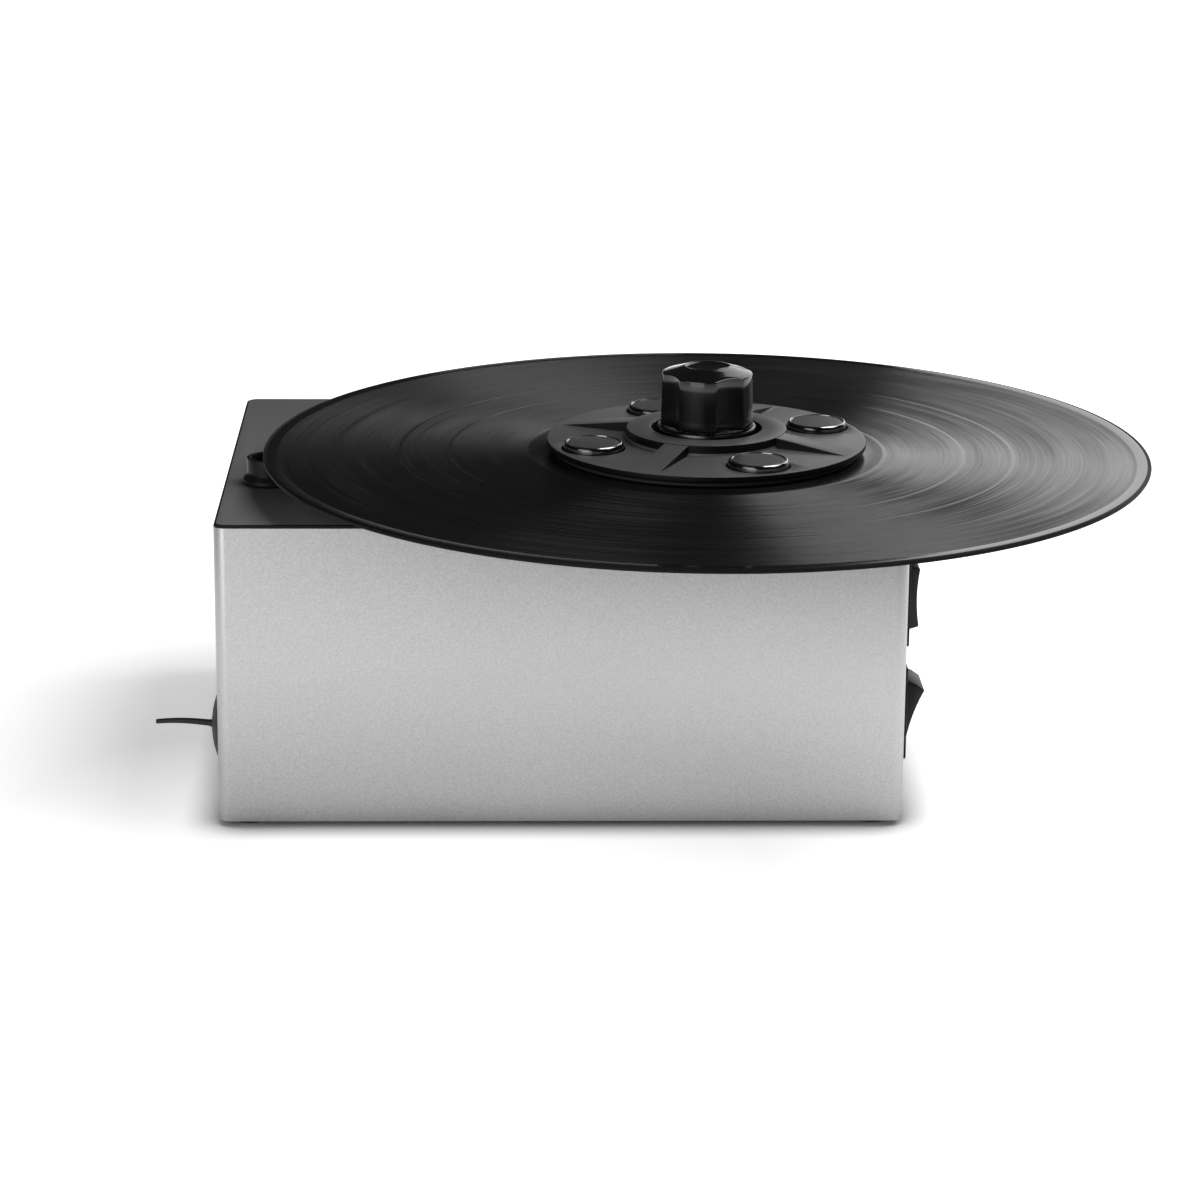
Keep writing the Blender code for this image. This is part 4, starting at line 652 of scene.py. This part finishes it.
def makeCollarAndSeal(shape):
    radius, bottom, top = roundBox("clamp_collar")
    pin, foot = shape["pinBore"], shape["collarFoot"]
    under, well = top - shape["collarHeight"], top - shape["wellDepth"]
    profile = [(pin, well), (shape["well"], well), (shape["wellEdge"], top),
               *edgePoints(radius, top, (0.6, 0), (0.15, 0.18), (0, 0.6)),
               *edgePoints(radius, under, (0, -0.3), (0.3, 0)),
               (foot, under), (foot, bottom), (pin, bottom), (pin, well)]
    # its steel is painted near-black as shade
    ring = turned("clampCollar", profile, 128, "collarShadedSteel", (axisX, 0, 0))
    handOver(ring, "clamp", "chrome", "clamp_collar")
    outer, bottom, top = roundBox("clamp_seal")
    inner = outer - shape["sealWidth"]
    profile = [*edgePoints(inner, bottom, (0, -0.3), (-0.3, 0)), *edgePoints(outer, bottom, (0.3, 0), (0, -0.3)),
               *edgePoints(outer, top, (0, 0.3), (0.3, 0)), *edgePoints(inner, top, (-0.3, 0), (0, 0.3))]
    seal = turned("clampSeal", [*profile, profile[0]], 128, "blackRubber", (axisX, 0, 0))
    handOver(seal, "clamp", "black_rubber", "clamp_seal")


makeClampDisc(clamp)
makeWeights(clamp)
makeCollarAndSeal(clamp)
print("clamp made")

# knob: a turned body with four broad flutes that cut its edge

knob = {"around": 288, "radius": 15.7 * mm, "topRadius": 15.3 * mm, "shoulder": 26.8 * mm, "dimple": 7.6 * mm,
        "dimpleDepth": 0.6 * mm, "fluteRadius": 18.6 * mm, "fluteDepth": 2.0 * mm,
        "firstFlute": math.radians(-61), "flutes": 4, "blend": 0.35 * mm, "edge": 0.35 * mm,
        "nutBore": 7.8 * mm, "nutRoom": 0.3 * mm, "pinBore": 4.0 * mm, "pinTop": 23 * mm}


def softMin(first, second, width):
    gap = max(width - abs(first - second), 0) / width
    return min(first, second) - gap * gap * width / 4


def makeKnob(shape):
    low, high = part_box("clamp_knob")
    base, peak = low.z, high.z
    shoulder = recordTop + shape["shoulder"]
    reach = shape["radius"] - shape["fluteDepth"] + shape["fluteRadius"]
    slope = (peak - shoulder) / (shape["topRadius"] - shape["dimple"])
    edge, inner, depth = shape["edge"], shape["dimple"], shape["dimpleDepth"]
    columns = []
    for i in range(shape["around"]):
        angle = turn * i / shape["around"]
        fluteCut = 1.0  # far outside, where no flute cuts
        for k in range(shape["flutes"]):
            away = angle - shape["firstFlute"] - turn * k / shape["flutes"]
            away = (away + math.pi) % turn - math.pi
            inside = shape["fluteRadius"] ** 2 - (reach * math.sin(away)) ** 2
            if abs(away) < turn / 8 and inside > 0:
                fluteCut = reach * math.cos(away) - math.sqrt(inside)
        foot = softMin(shape["radius"], fluteCut, shape["blend"])
        crown = softMin(shape["topRadius"], fluteCut, shape["blend"])
        lip = shoulder + (shape["topRadius"] - crown) * slope
        ring = [(shape["pinBore"], base), (foot - edge * 1.2, base), (foot - edge * 0.3, base + edge * 0.3),
                (foot, base + edge)]
        for share in (0.2, 0.4, 0.6, 0.8):
            ring.append((foot + (crown - foot) * share, base + edge + (lip - 2 * edge - base) * share))
        ring += [(crown, lip - edge), (crown - edge * 0.12, lip - edge * 0.45),
                 (crown - edge * 0.45, lip - edge * 0.05), (crown - edge, lip + edge * slope * 0.8)]
        for share in (0.25, 0.5, 0.75):
            r = crown - edge + (inner + 0.3 * mm - crown + edge) * share
            ring.append((r, shoulder + (shape["topRadius"] - r) * slope - 0.03 * mm))
        ring += edgePoints(inner, peak, (-0.25, 0.05), (0, 0), (0.25, 0.1))
        ring += [(inner - 0.9 * mm, peak - depth * 0.55), (inner * 0.6, peak - depth * 0.9),
                 (inner * 0.3, peak - depth)]
        columns.append([(r * math.cos(angle), r * math.sin(angle), z) for r, z in ring])
    count = len(columns[0])
    points = [point for column in columns for point in column]
    points += [(0, 0, peak - depth), (0, 0, base)]
    faces = []
    for i in range(shape["around"]):
        here, after = i * count, (i + 1) % shape["around"] * count
        faces += [(here + k, after + k, after + k + 1, here + k + 1) for k in range(count - 1)]
        faces.append((here + count - 1, after + count - 1, len(points) - 2))
        faces.append((after, here, len(points) - 1))
    mesh = bpy.data.meshes.new("clampKnob")
    mesh.from_pydata(points, [], faces)
    thing = newObject("clampKnob", mesh)
    settle(paint(thing, "knobBlack"), 30, (axisX, 0, 0))
    # the bore for the nut and the pin, from below
    nutTop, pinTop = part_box("knob_nut")[1].z + shape["nutRoom"], recordTop + shape["pinTop"]
    carve(thing, turned("bore", [(0, base - mm), (shape["nutBore"], base - mm), (shape["nutBore"], nutTop),
                                 (shape["pinBore"], nutTop), (shape["pinBore"], pinTop), (0, pinTop)],
                        64, "knobBlack", (axisX, 0, 0)))
    settle(thing, 30)
    handOver(paint(thing, "knobBlack"), "knob", "satin_black", "clamp_knob")


makeKnob(knob)
print("knob made")

# case: silver shell and dark top plate

case = {"corner": 4.0 * mm, "wall": 2.0 * mm, "cornerSteps": 16, "shellEase": 0.25 * mm, "plateEase": 0.9 * mm,
        "plateGap": 0.05 * mm, "baseThickness": 3 * mm, "window": 10 * mm, "windowCorner": 3 * mm,
        "clear": 2 * mm, "drainHole": 9.3 * mm, "screwHole": 1.8 * mm, "switchHalf": (11.0 * mm, 14.4 * mm),
        "spindleHole": 8.3 * mm, "portHole": 7.3 * mm, "holeSteps": 64, "levelAbove": 0.97}


def drill(shape, wall, radius, steps, place, facing):
    # a round hole through the wall, from a place on its outer face
    inside, outside = -shape["wall"] - shape["clear"], shape["clear"]
    carve(wall, turned("drill", [(0, inside), (radius, inside), (radius, outside), (0, outside)], steps,
                       "satinSilver", place, facing))


def makeShell(shape):
    low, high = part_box("body_shell")
    wall, clear = shape["wall"], shape["clear"]
    outer = roundedBox(low.x, high.x, low.y, high.y, shape["corner"], shape["cornerSteps"])
    inner = roundedBox(low.x + wall, high.x - wall, low.y + wall, high.y - wall, shape["corner"] - wall,
                       shape["cornerSteps"])
    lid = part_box("top_plate")[0].z - shape["plateGap"]  # up to the plate, as bent metal touches it
    shell = slab("bodyShell", [outer, inner], low.z, lid)
    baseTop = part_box("base_plate")[0].z + shape["baseThickness"]
    edge = wall + shape["window"]
    window = roundedBox(low.x + edge, high.x - edge, baseTop + shape["window"], high.z - shape["window"],
                        shape["windowCorner"], 8)
    cutter = slab("windowCutter", [window], -high.y - clear, -high.y + wall + clear)
    cutter.data.transform(upright)
    carve(shell, cutter)
    middle = middleOf("drain_spout")
    drill(shape, shell, shape["drainHole"], 64, (low.x, middle.y, middle.z), towardsLeft)
    halfY, halfZ = shape["switchHalf"]
    for node in ("lower_switch", "upper_switch"):
        middle = middleOf(node)
        carve(shell, block("switchCutter", (high.x - wall - clear, middle.y - halfY, middle.z - halfZ),
                           (high.x + clear, middle.y + halfY, middle.z + halfZ)))
    for side in ("low_left", "low_right", "high_left", "high_right"):
        middle = middleOf("rear_panel_screw_" + side)
        drill(shape, shell, shape["screwHole"], 32, (middle.x, high.y, middle.z), towardsBack)
    easeEdges(shell, shape["shellEase"])
    settle(shell, 30)
    handOver(paint(shell, "satinSilver"), "chassis", "brushed_silver", "body_shell")


def makeTopPlate(shape):
    low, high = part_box("top_plate")
    portLow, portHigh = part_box("arm_port")
    portMiddle = ((portLow.x + portHigh.x) / 2, (portLow.y + portHigh.y) / 2)
    last = shape["holeSteps"] - 1  # the loop closes itself
    loops = [roundedBox(low.x, high.x, low.y, high.y, shape["corner"], shape["cornerSteps"]),
             arcPoints((axisX, 0), shape["spindleHole"], 0, turn * last / shape["holeSteps"], last),
             arcPoints(portMiddle, shape["portHole"], 0, turn * last / shape["holeSteps"], last)]
    plate = slab("topPlate", loops, low.z, high.z)
    # only the upper edges are rounded
    bm = bmesh.new()
    bm.from_mesh(plate.data)
    rim = [edge for edge in bm.edges if all(v.co.z > high.z - 0.01 * mm for v in edge.verts)
           and len({round(face.normal.z) for face in edge.link_faces}) == 2]
    bmesh.ops.bevel(bm, geom=rim, offset=shape["plateEase"], offset_type="OFFSET", segments=2, profile=0.5,
                    affect="EDGES")
    bm.to_mesh(plate.data)
    bm.free()
    settle(plate, 30)
    paint(plate, "plateBlack").data.materials.append(finish["plateEdge"])
    # faces that are not level, the eased edge and the sides, take the near-black edge finish; level faces take the
    # lighter plate finish
    for face in plate.data.polygons:
        face.material_index = int(abs(face.normal.z) < shape["levelAbove"])
    handOver(plate, "chassis", "plate_black", "top_plate")


makeShell(case)
makeTopPlate(case)
print("case made")

# arm port, drain plug, feet and platter

port = {"steps": 96, "radius": 7.6 * mm, "foot": 9.4 * mm, "footHeight": 4.2 * mm, "footEdge": 0.7 * mm,
        "footGap": 0.3 * mm, "flareSteps": 12, "bore": 6 * mm, "lowerBore": 5 * mm, "boreStep": 0.5 * mm,
        "shank": 7 * mm}


def makePort(shape):
    low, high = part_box("arm_port")
    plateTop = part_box("top_plate")[1].z
    middle = ((low.x + high.x) / 2, (low.y + high.y) / 2, 0)
    seat, top, step = plateTop + shape["footGap"], high.z, plateTop - shape["boreStep"]
    radius, foot, bore, shank, lower = (shape[key] for key in ("radius", "foot", "bore", "shank", "lowerBore"))
    rise = shape["footHeight"] - shape["footEdge"] - shape["footGap"]
    flare = []
    for i in range(shape["flareSteps"] + 1):
        share = i / shape["flareSteps"]
        flare.append((radius + (foot - radius) * (1 - math.cos(math.pi * share)) / 2,
                      plateTop + shape["footHeight"] - rise * share))
    profile = [*edgePoints(bore, top, (0, 0.45), (-0.12, 0.14), (-0.45, 0)),
               *edgePoints(radius, top, (0.45, 0), (0.12, 0.14), (0, 0.45)), *flare,
               *edgePoints(foot, seat, (0.02, -0.15), (0.15, 0)), (shank, seat), (shank, low.z), (lower, low.z),
               (lower, step), (bore, step)]
    post = turned("armPort", [*profile, profile[0]], shape["steps"], "mouldedBlack", middle, None, 40)
    handOver(post, "chassis", "black_plastic", "arm_port")


plug = {"steps": 96, "flange": 12 * mm, "back": 0.3 * mm, "rim": 1.1 * mm, "apex": 3.86 * mm,
        "domePower": 1.6, "shank": 5.7 * mm, "tip": 5.0 * mm, "depth": 6.0 * mm, "tailSteps": 32,
        "tailRoot": 1.16 * mm, "tailTip": 0.80 * mm, "tailRise": 1.1 * mm, "tailEnd": 0.25 * mm,
        "tailRound": ((0.12, 0.86), (0.04, 0.6), (0, 0.25)), "rootSwell": 0.5, "swellReach": 0.12}


def makePlug(shape):
    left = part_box("drain_plug")[0].x
    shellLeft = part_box("body_shell")[0].x
    spout = middleOf("drain_spout")
    place = (shellLeft, spout.y, spout.z)
    flange, rim, apex, depth, back = (shape[key] for key in ("flange", "rim", "apex", "depth", "back"))
    bends = [math.pi / 2 * (i * 3 / 20) for i in range(7)]
    profile = [(flange * math.sin(bend), rim + (apex - rim) * math.cos(bend) ** shape["domePower"])
               for bend in bends]
    profile += [*edgePoints(flange, rim, (0.2, 0), (0, 0.25)), (flange, 0.5 * mm), (flange - 0.2 * mm, back),
                (shape["shank"], back), (shape["shank"], -depth / 2), (shape["tip"], -depth), (0, -depth)]
    body = turned("drainPlug", profile, shape["steps"], "blackRubber", place, towardsLeft)
    # the pull tail: a tapered curve that leaves the dome's middle and ends round
    reach, start = shellLeft - left, apex * 0.6
    taper = shape["tailTip"] / shape["tailRoot"] - 1
    points = []
    for share in (i / shape["tailSteps"] for i in range(shape["tailSteps"] + 1)):
        swell = shape["rootSwell"] * max(0, shape["swellReach"] - share) / shape["swellReach"]
        points.append((start + (reach - start - shape["tailEnd"]) * share,
                       shape["tailRise"] * math.sin(share * math.pi * 0.75), 1 + taper * share + swell))
    up, thick = points[-1][1:]
    points += [(reach - before * mm, up, thick * size) for before, size in shape["tailRound"]]
    points.append((reach, up, 0.01))
    curve = bpy.data.curves.new("plugTail", "CURVE")
    curve.dimensions = "3D"
    curve.bevel_depth = shape["tailRoot"]
    curve.bevel_resolution = 6
    curve.use_fill_caps = True
    spline = curve.splines.new("POLY")
    spline.points.add(len(points) - 1)
    for point, (out, up, radius) in zip(spline.points, points):
        point.co = (place[0] - out, place[1], place[2] + up, 1)
        point.radius = radius
    tail = newObject("plugTail", curve)
    mesh = asMesh(tail)
    bpy.data.objects.remove(tail)
    tail = newObject("plugTail", mesh)
    settle(paint(tail, "blackRubber"), 60)
    carve(body, tail, "UNION")
    settle(body, 40)
    handOver(paint(body, "blackRubber"), "plug", "black_rubber", "drain_plug")


foot = {"steps": 64, "seatGap": 0.3 * mm, "radius": 7.0 * mm, "stem": 2.0 * mm,
        "sole": ((0, 1), (2.6, 1), (3.4, 0.2), (3.8, 0), (5.8, 0), (6.2, 0.3))}  # radius and height in millimetres


def makeFeet(shape):
    top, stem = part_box("foot_front_left")[1].z, shape["stem"]
    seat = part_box("base_plate")[0].z - shape["seatGap"]
    profile = [(out * mm, up * mm) for out, up in shape["sole"]]
    profile += [*edgePoints(shape["radius"], seat, (0, 0.4), (0.2, 0)), (stem, seat),
                *edgePoints(stem, top, (0, 0.8), (0.8, 0)), (0, top)]
    model = turned("foot", profile, shape["steps"], "blackRubber")
    names = ["foot_" + corner for corner in ("front_left", "front_right", "rear_left", "rear_right")]
    feet = copiesAt("feet", model, [middleOf(name).xy.to_3d() for name in names], "blackRubber", 40)
    bpy.data.objects.remove(model)
    handOver(feet, "chassis", "black_rubber", *names)


platter = {"steps": 192, "hole": 3.6 * mm, "edge": 0.8 * mm}


def makePlatter(shape):
    hole = shape["hole"]
    for node, name, look, slotName in (("platter_disc", "platterDisc", "turnedAluminium", "bare_aluminium"),
                                       ("platter_mat", "platterMat", "pressedCork", "cork")):
        radius, bottom, top = roundBox(node)
        edge = min(shape["edge"], (top - bottom) / 4)
        near = edge * 0.3
        profile = [(hole, bottom), (radius - edge, bottom), (radius - near, bottom + near), (radius, bottom + edge),
                   (radius, top - edge), (radius - near, top - near), (radius - edge, top), (hole, top),
                   (hole, bottom)]
        handOver(turned(name, profile, shape["steps"], look, (axisX, 0, 0)), "platter", slotName, node)


makePort(port)
makePlug(plug)
makeFeet(foot)
makePlatter(platter)
print("port, plug, feet and platter made")

# hard pieces that keep the solid's shape and get eased edges

eased = {  # node: piece, finish, slot and how many millimetres its edges are eased
    "rear_panel": ("rearPanel", "panelBlack", "satin_black", 0.2),
    "base_plate": ("basePlate", "plainSteel", "steel", 0.2),
    "lower_switch": ("lowerSwitchCase", "mouldedBlack", "black_plastic", 0.3),
    "upper_switch": ("upperSwitchCase", "mouldedBlack", "black_plastic", 0.3),
    "lower_rocker": ("lowerRocker", "switchBlack", "switch_black", 0.35),
    "upper_rocker": ("upperRocker", "switchBlack", "switch_black", 0.35),
    "mains_inlet": ("mainsInlet", "mouldedBlack", "black_plastic", 0.25),
    "waste_tank": ("wasteTank", "tankWhite", "tank_white", 0.3),
    "tank_lid": ("tankLid", "tankWhite", "tank_white", 0.3),
}
for node, (name, look, slotName, width) in eased.items():
    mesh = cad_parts[node].data.copy()
    clean(mesh, solidMergeWithin, 1, outwards=False)
    thing = settle(easeEdges(newObject(name, mesh), width * mm))
    body = node if node.endswith("rocker") else "chassis"  # each rocker is a body of its own
    handOver(paint(thing, look), body, slotName, node)
print("eased pieces made:", len(eased))

# screws on the back

screw = {"head": 2.8 * mm, "headHeight": 1.5 * mm, "seatGap": 0.3 * mm, "crown": 1.9 * mm, "shank": 1.5 * mm,
         "length": 5.5 * mm, "slotLength": 3.0 * mm, "slotWidth": 0.7 * mm, "slotDepth": 0.8 * mm}


def makeScrews(shape):
    head, seatGap, shank, length = (shape[key] for key in ("head", "seatGap", "shank", "length"))
    top = shape["headHeight"] + seatGap
    profile = [(0, top), (shape["crown"] * 0.5, top - 0.03 * mm), (shape["crown"], top - 0.18 * mm),
               *edgePoints(head, top, (0.25, 0.65), (0, 1.1)), (head, seatGap), (shank, seatGap),
               (shank, -length), (0, -length)]
    model = turned("screwHead", profile, 48, "plainSteel")
    for long, wide in ((shape["slotLength"], shape["slotWidth"]), (shape["slotWidth"], shape["slotLength"])):
        carve(model, block("recess", (-long / 2, -wide / 2, top - shape["slotDepth"]),
                           (long / 2, wide / 2, top + mm)))
    settle(model)
    facing = tuple(towardsBack.to_euler())
    for name, stem, carrier, sides in (
            ("panelScrews", "rear_panel_screw_", "body_shell", ("low_left", "low_right", "high_left", "high_right")),
            ("inletScrews", "inlet_screw_", "mains_inlet", ("left", "right"))):
        nodes = [stem + side for side in sides]
        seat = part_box(carrier)[1].y
        places = [(middleOf(node).x, seat, middleOf(node).z) for node in nodes]
        handOver(copiesAt(name, model, places, "plainSteel", 35, facing), "chassis", "steel", *nodes)
    bpy.data.objects.remove(model)


makeScrews(screw)
print("screws made")

# solids inside the case keep their shape and get their own finish

inside = {
    "turnedAluminium": ("corner_post_front_left", "corner_post_front_right", "corner_post_rear_left",
                        "corner_post_rear_right", "spindle_bearing"),
    "turnedBrass": ("lower_bush", "drive_pinion", "knob_nut"),
    "plainSteel": ("drive_bracket", "drive_motor", "vacuum_motor"),
    "polishedSteel": ("spindle_shaft",),
    "milkyNylon": ("drive_gear", "blower_impeller"),
    "mouldedBlack": ("port_nut", "drain_spout", "blower_housing", "blower_cover"),
    "blackRubber": ("port_sleeve", "tank_seal", "motor_pad", "suction_hose"),
    "stackedIron": ("transformer_core",), "coilTape": ("transformer_coil",), "boardGreen": ("control_board",),
}
for look, nodes in inside.items():
    for node in nodes:
        paint(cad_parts[node], look)
print("inside solids finished:", sum(map(len, inside.values())))

# studio: floor, world, lamps and camera

# the floor's glow holds painted light and shade: a painted shadow zone beside the case, a painted pool of light in
# front and a painted contact shadow
studio = {"floorHalf": 40.0, "floorColour": 0.80, "paintedShadowGlow": 0.42, "glowFar": 1.0,
          "paintedShadowCentre": (-0.10, 0.06, 0), "paintedShadowReach": (0.09, 0.30),
          "paintedPoolCentre": (-0.10, -0.28, 0), "paintedPoolReach": (0.16, 0.32),
          "contact": 0.014, "paintedContactGlow": 0.5, "worldGrey": 0.02,
          "lamps": {  # place, target, (width, height), power
              "rightSoftbox": ((0.85, 0.05, 1.5), (0, 0, 0.05), (1.1, 1.1), 22),
              "leftSoftbox": ((-1.0, -1.15, 0.75), (-0.2, -0.2, 0.05), (1.2, 1.2), 7),
              "frontSoftbox": ((-0.8, -1.5, 0.40), (-0.1, -0.06, 0.05), (1.1, 0.8), 5),
              "recordPanel": ((0.98, 1.3, 0.72), (0.98, 0, 0.72), (1.5, 1.16), 8),
              "lowPanel": ((-0.02, 1.3, 0.18), (-0.02, 0, 0.18), (0.18, 0.32), 0.12),
          }}


def makeStudio(setup):
    half = setup["floorHalf"]
    mesh = bpy.data.meshes.new("studioFloor")
    mesh.from_pydata([(-half, -half, 0), (half, -half, 0), (half, half, 0), (-half, half, 0)], [],
                     [(0, 1, 2, 3)])
    floor = newObject("studioFloor", mesh)
    material, tree, shader, coords = newMaterial("paleFloor", {
        "Base Color": tone(setup["floorColour"]), "Roughness": 0.9, "Specular IOR Level": 0.1,
        "Emission Color": (1, 1, 1, 1)})
    # the glow makes the backdrop white; ambient occlusion fades it into a painted contact shadow, a dim zone at the
    # left and back of the case paints a soft shadow and leaves room for the lamps' soft one, and a brighter zone in
    # front paints a pool of light
    path = tree.nodes.new("ShaderNodeLightPath").outputs
    seen = maths(tree, "MAXIMUM", path["Is Camera Ray"], path["Is Glossy Ray"])
    seen = maths(tree, "MAXIMUM", seen, path["Is Transmission Ray"])
    away = vectors(tree, "DISTANCE", coords, setup["paintedShadowCentre"])
    glow = remap(tree, away, setup["paintedShadowGlow"], setup["glowFar"], *setup["paintedShadowReach"])
    away = vectors(tree, "DISTANCE", coords, setup["paintedPoolCentre"])
    paintedPool = remap(tree, away, setup["glowFar"], setup["paintedShadowGlow"], *setup["paintedPoolReach"])
    paintedContactShade = addNode(tree, "ShaderNodeAmbientOcclusion", {"Distance": setup["contact"]}, samples=8)
    paintedContactShade = remap(tree, paintedContactShade.outputs["AO"], 0, 1, setup["paintedContactGlow"], 1.0)
    glow = times(tree, maths(tree, "MAXIMUM", glow, paintedPool), paintedContactShade)
    linkShader(tree, shader, {"Emission Strength": times(tree, seen, glow)})
    floor.data.materials.append(material)
    world = bpy.data.worlds.new("studioWorld")
    world.use_nodes = True
    back = world.node_tree.nodes["Background"]
    back.inputs["Strength"].default_value = setup["worldGrey"]
    back.inputs["Color"].default_value = (1, 1, 1, 1)
    bpy.context.scene.world = world
    for name, (place, target, size, power) in setup["lamps"].items():
        lamp = bpy.data.lights.new(name, "AREA")
        lamp.shape = "RECTANGLE"
        lamp.size, lamp.size_y = size
        lamp.energy = power
        thing = bpy.data.objects.new(name, lamp)
        thing.location = place
        thing.rotation_euler = (Vector(target) - Vector(place)).to_track_quat("-Z", "Y").to_euler()
        thing.visible_camera = False  # so that no lamp shows in a view from the other side
        bpy.context.scene.collection.objects.link(thing)


view = {"place": (-0.052362, -1.25727, 0.430587), "pitch": 0.28504, "yaw": 0.02756, "roll": 0.0078,
        "lens": 113.903}


def makeCamera(setup):
    pitch, yaw, roll = setup["pitch"], setup["yaw"], setup["roll"]
    ahead = Vector((math.sin(yaw) * math.cos(pitch), math.cos(yaw) * math.cos(pitch), -math.sin(pitch)))
    right = Vector((math.cos(yaw), -math.sin(yaw), 0))
    up = right.cross(ahead)
    across = right * math.cos(roll) + up * math.sin(roll)
    upward = up * math.cos(roll) - right * math.sin(roll)
    lens = bpy.data.cameras.new("productView")
    lens.lens = setup["lens"]
    lens.sensor_width = 36
    lens.clip_start = 0.05
    lens.clip_end = 30
    camera = bpy.data.objects.new("productView", lens)
    facing = Matrix((across, upward, -ahead)).transposed().to_4x4()
    camera.matrix_world = Matrix.Translation(setup["place"]) @ facing
    bpy.context.scene.collection.objects.link(camera)
    bpy.context.scene.camera = camera


makeStudio(studio)
makeCamera(view)
bpy.context.scene.view_settings.view_transform = "Standard"
print("studio made")
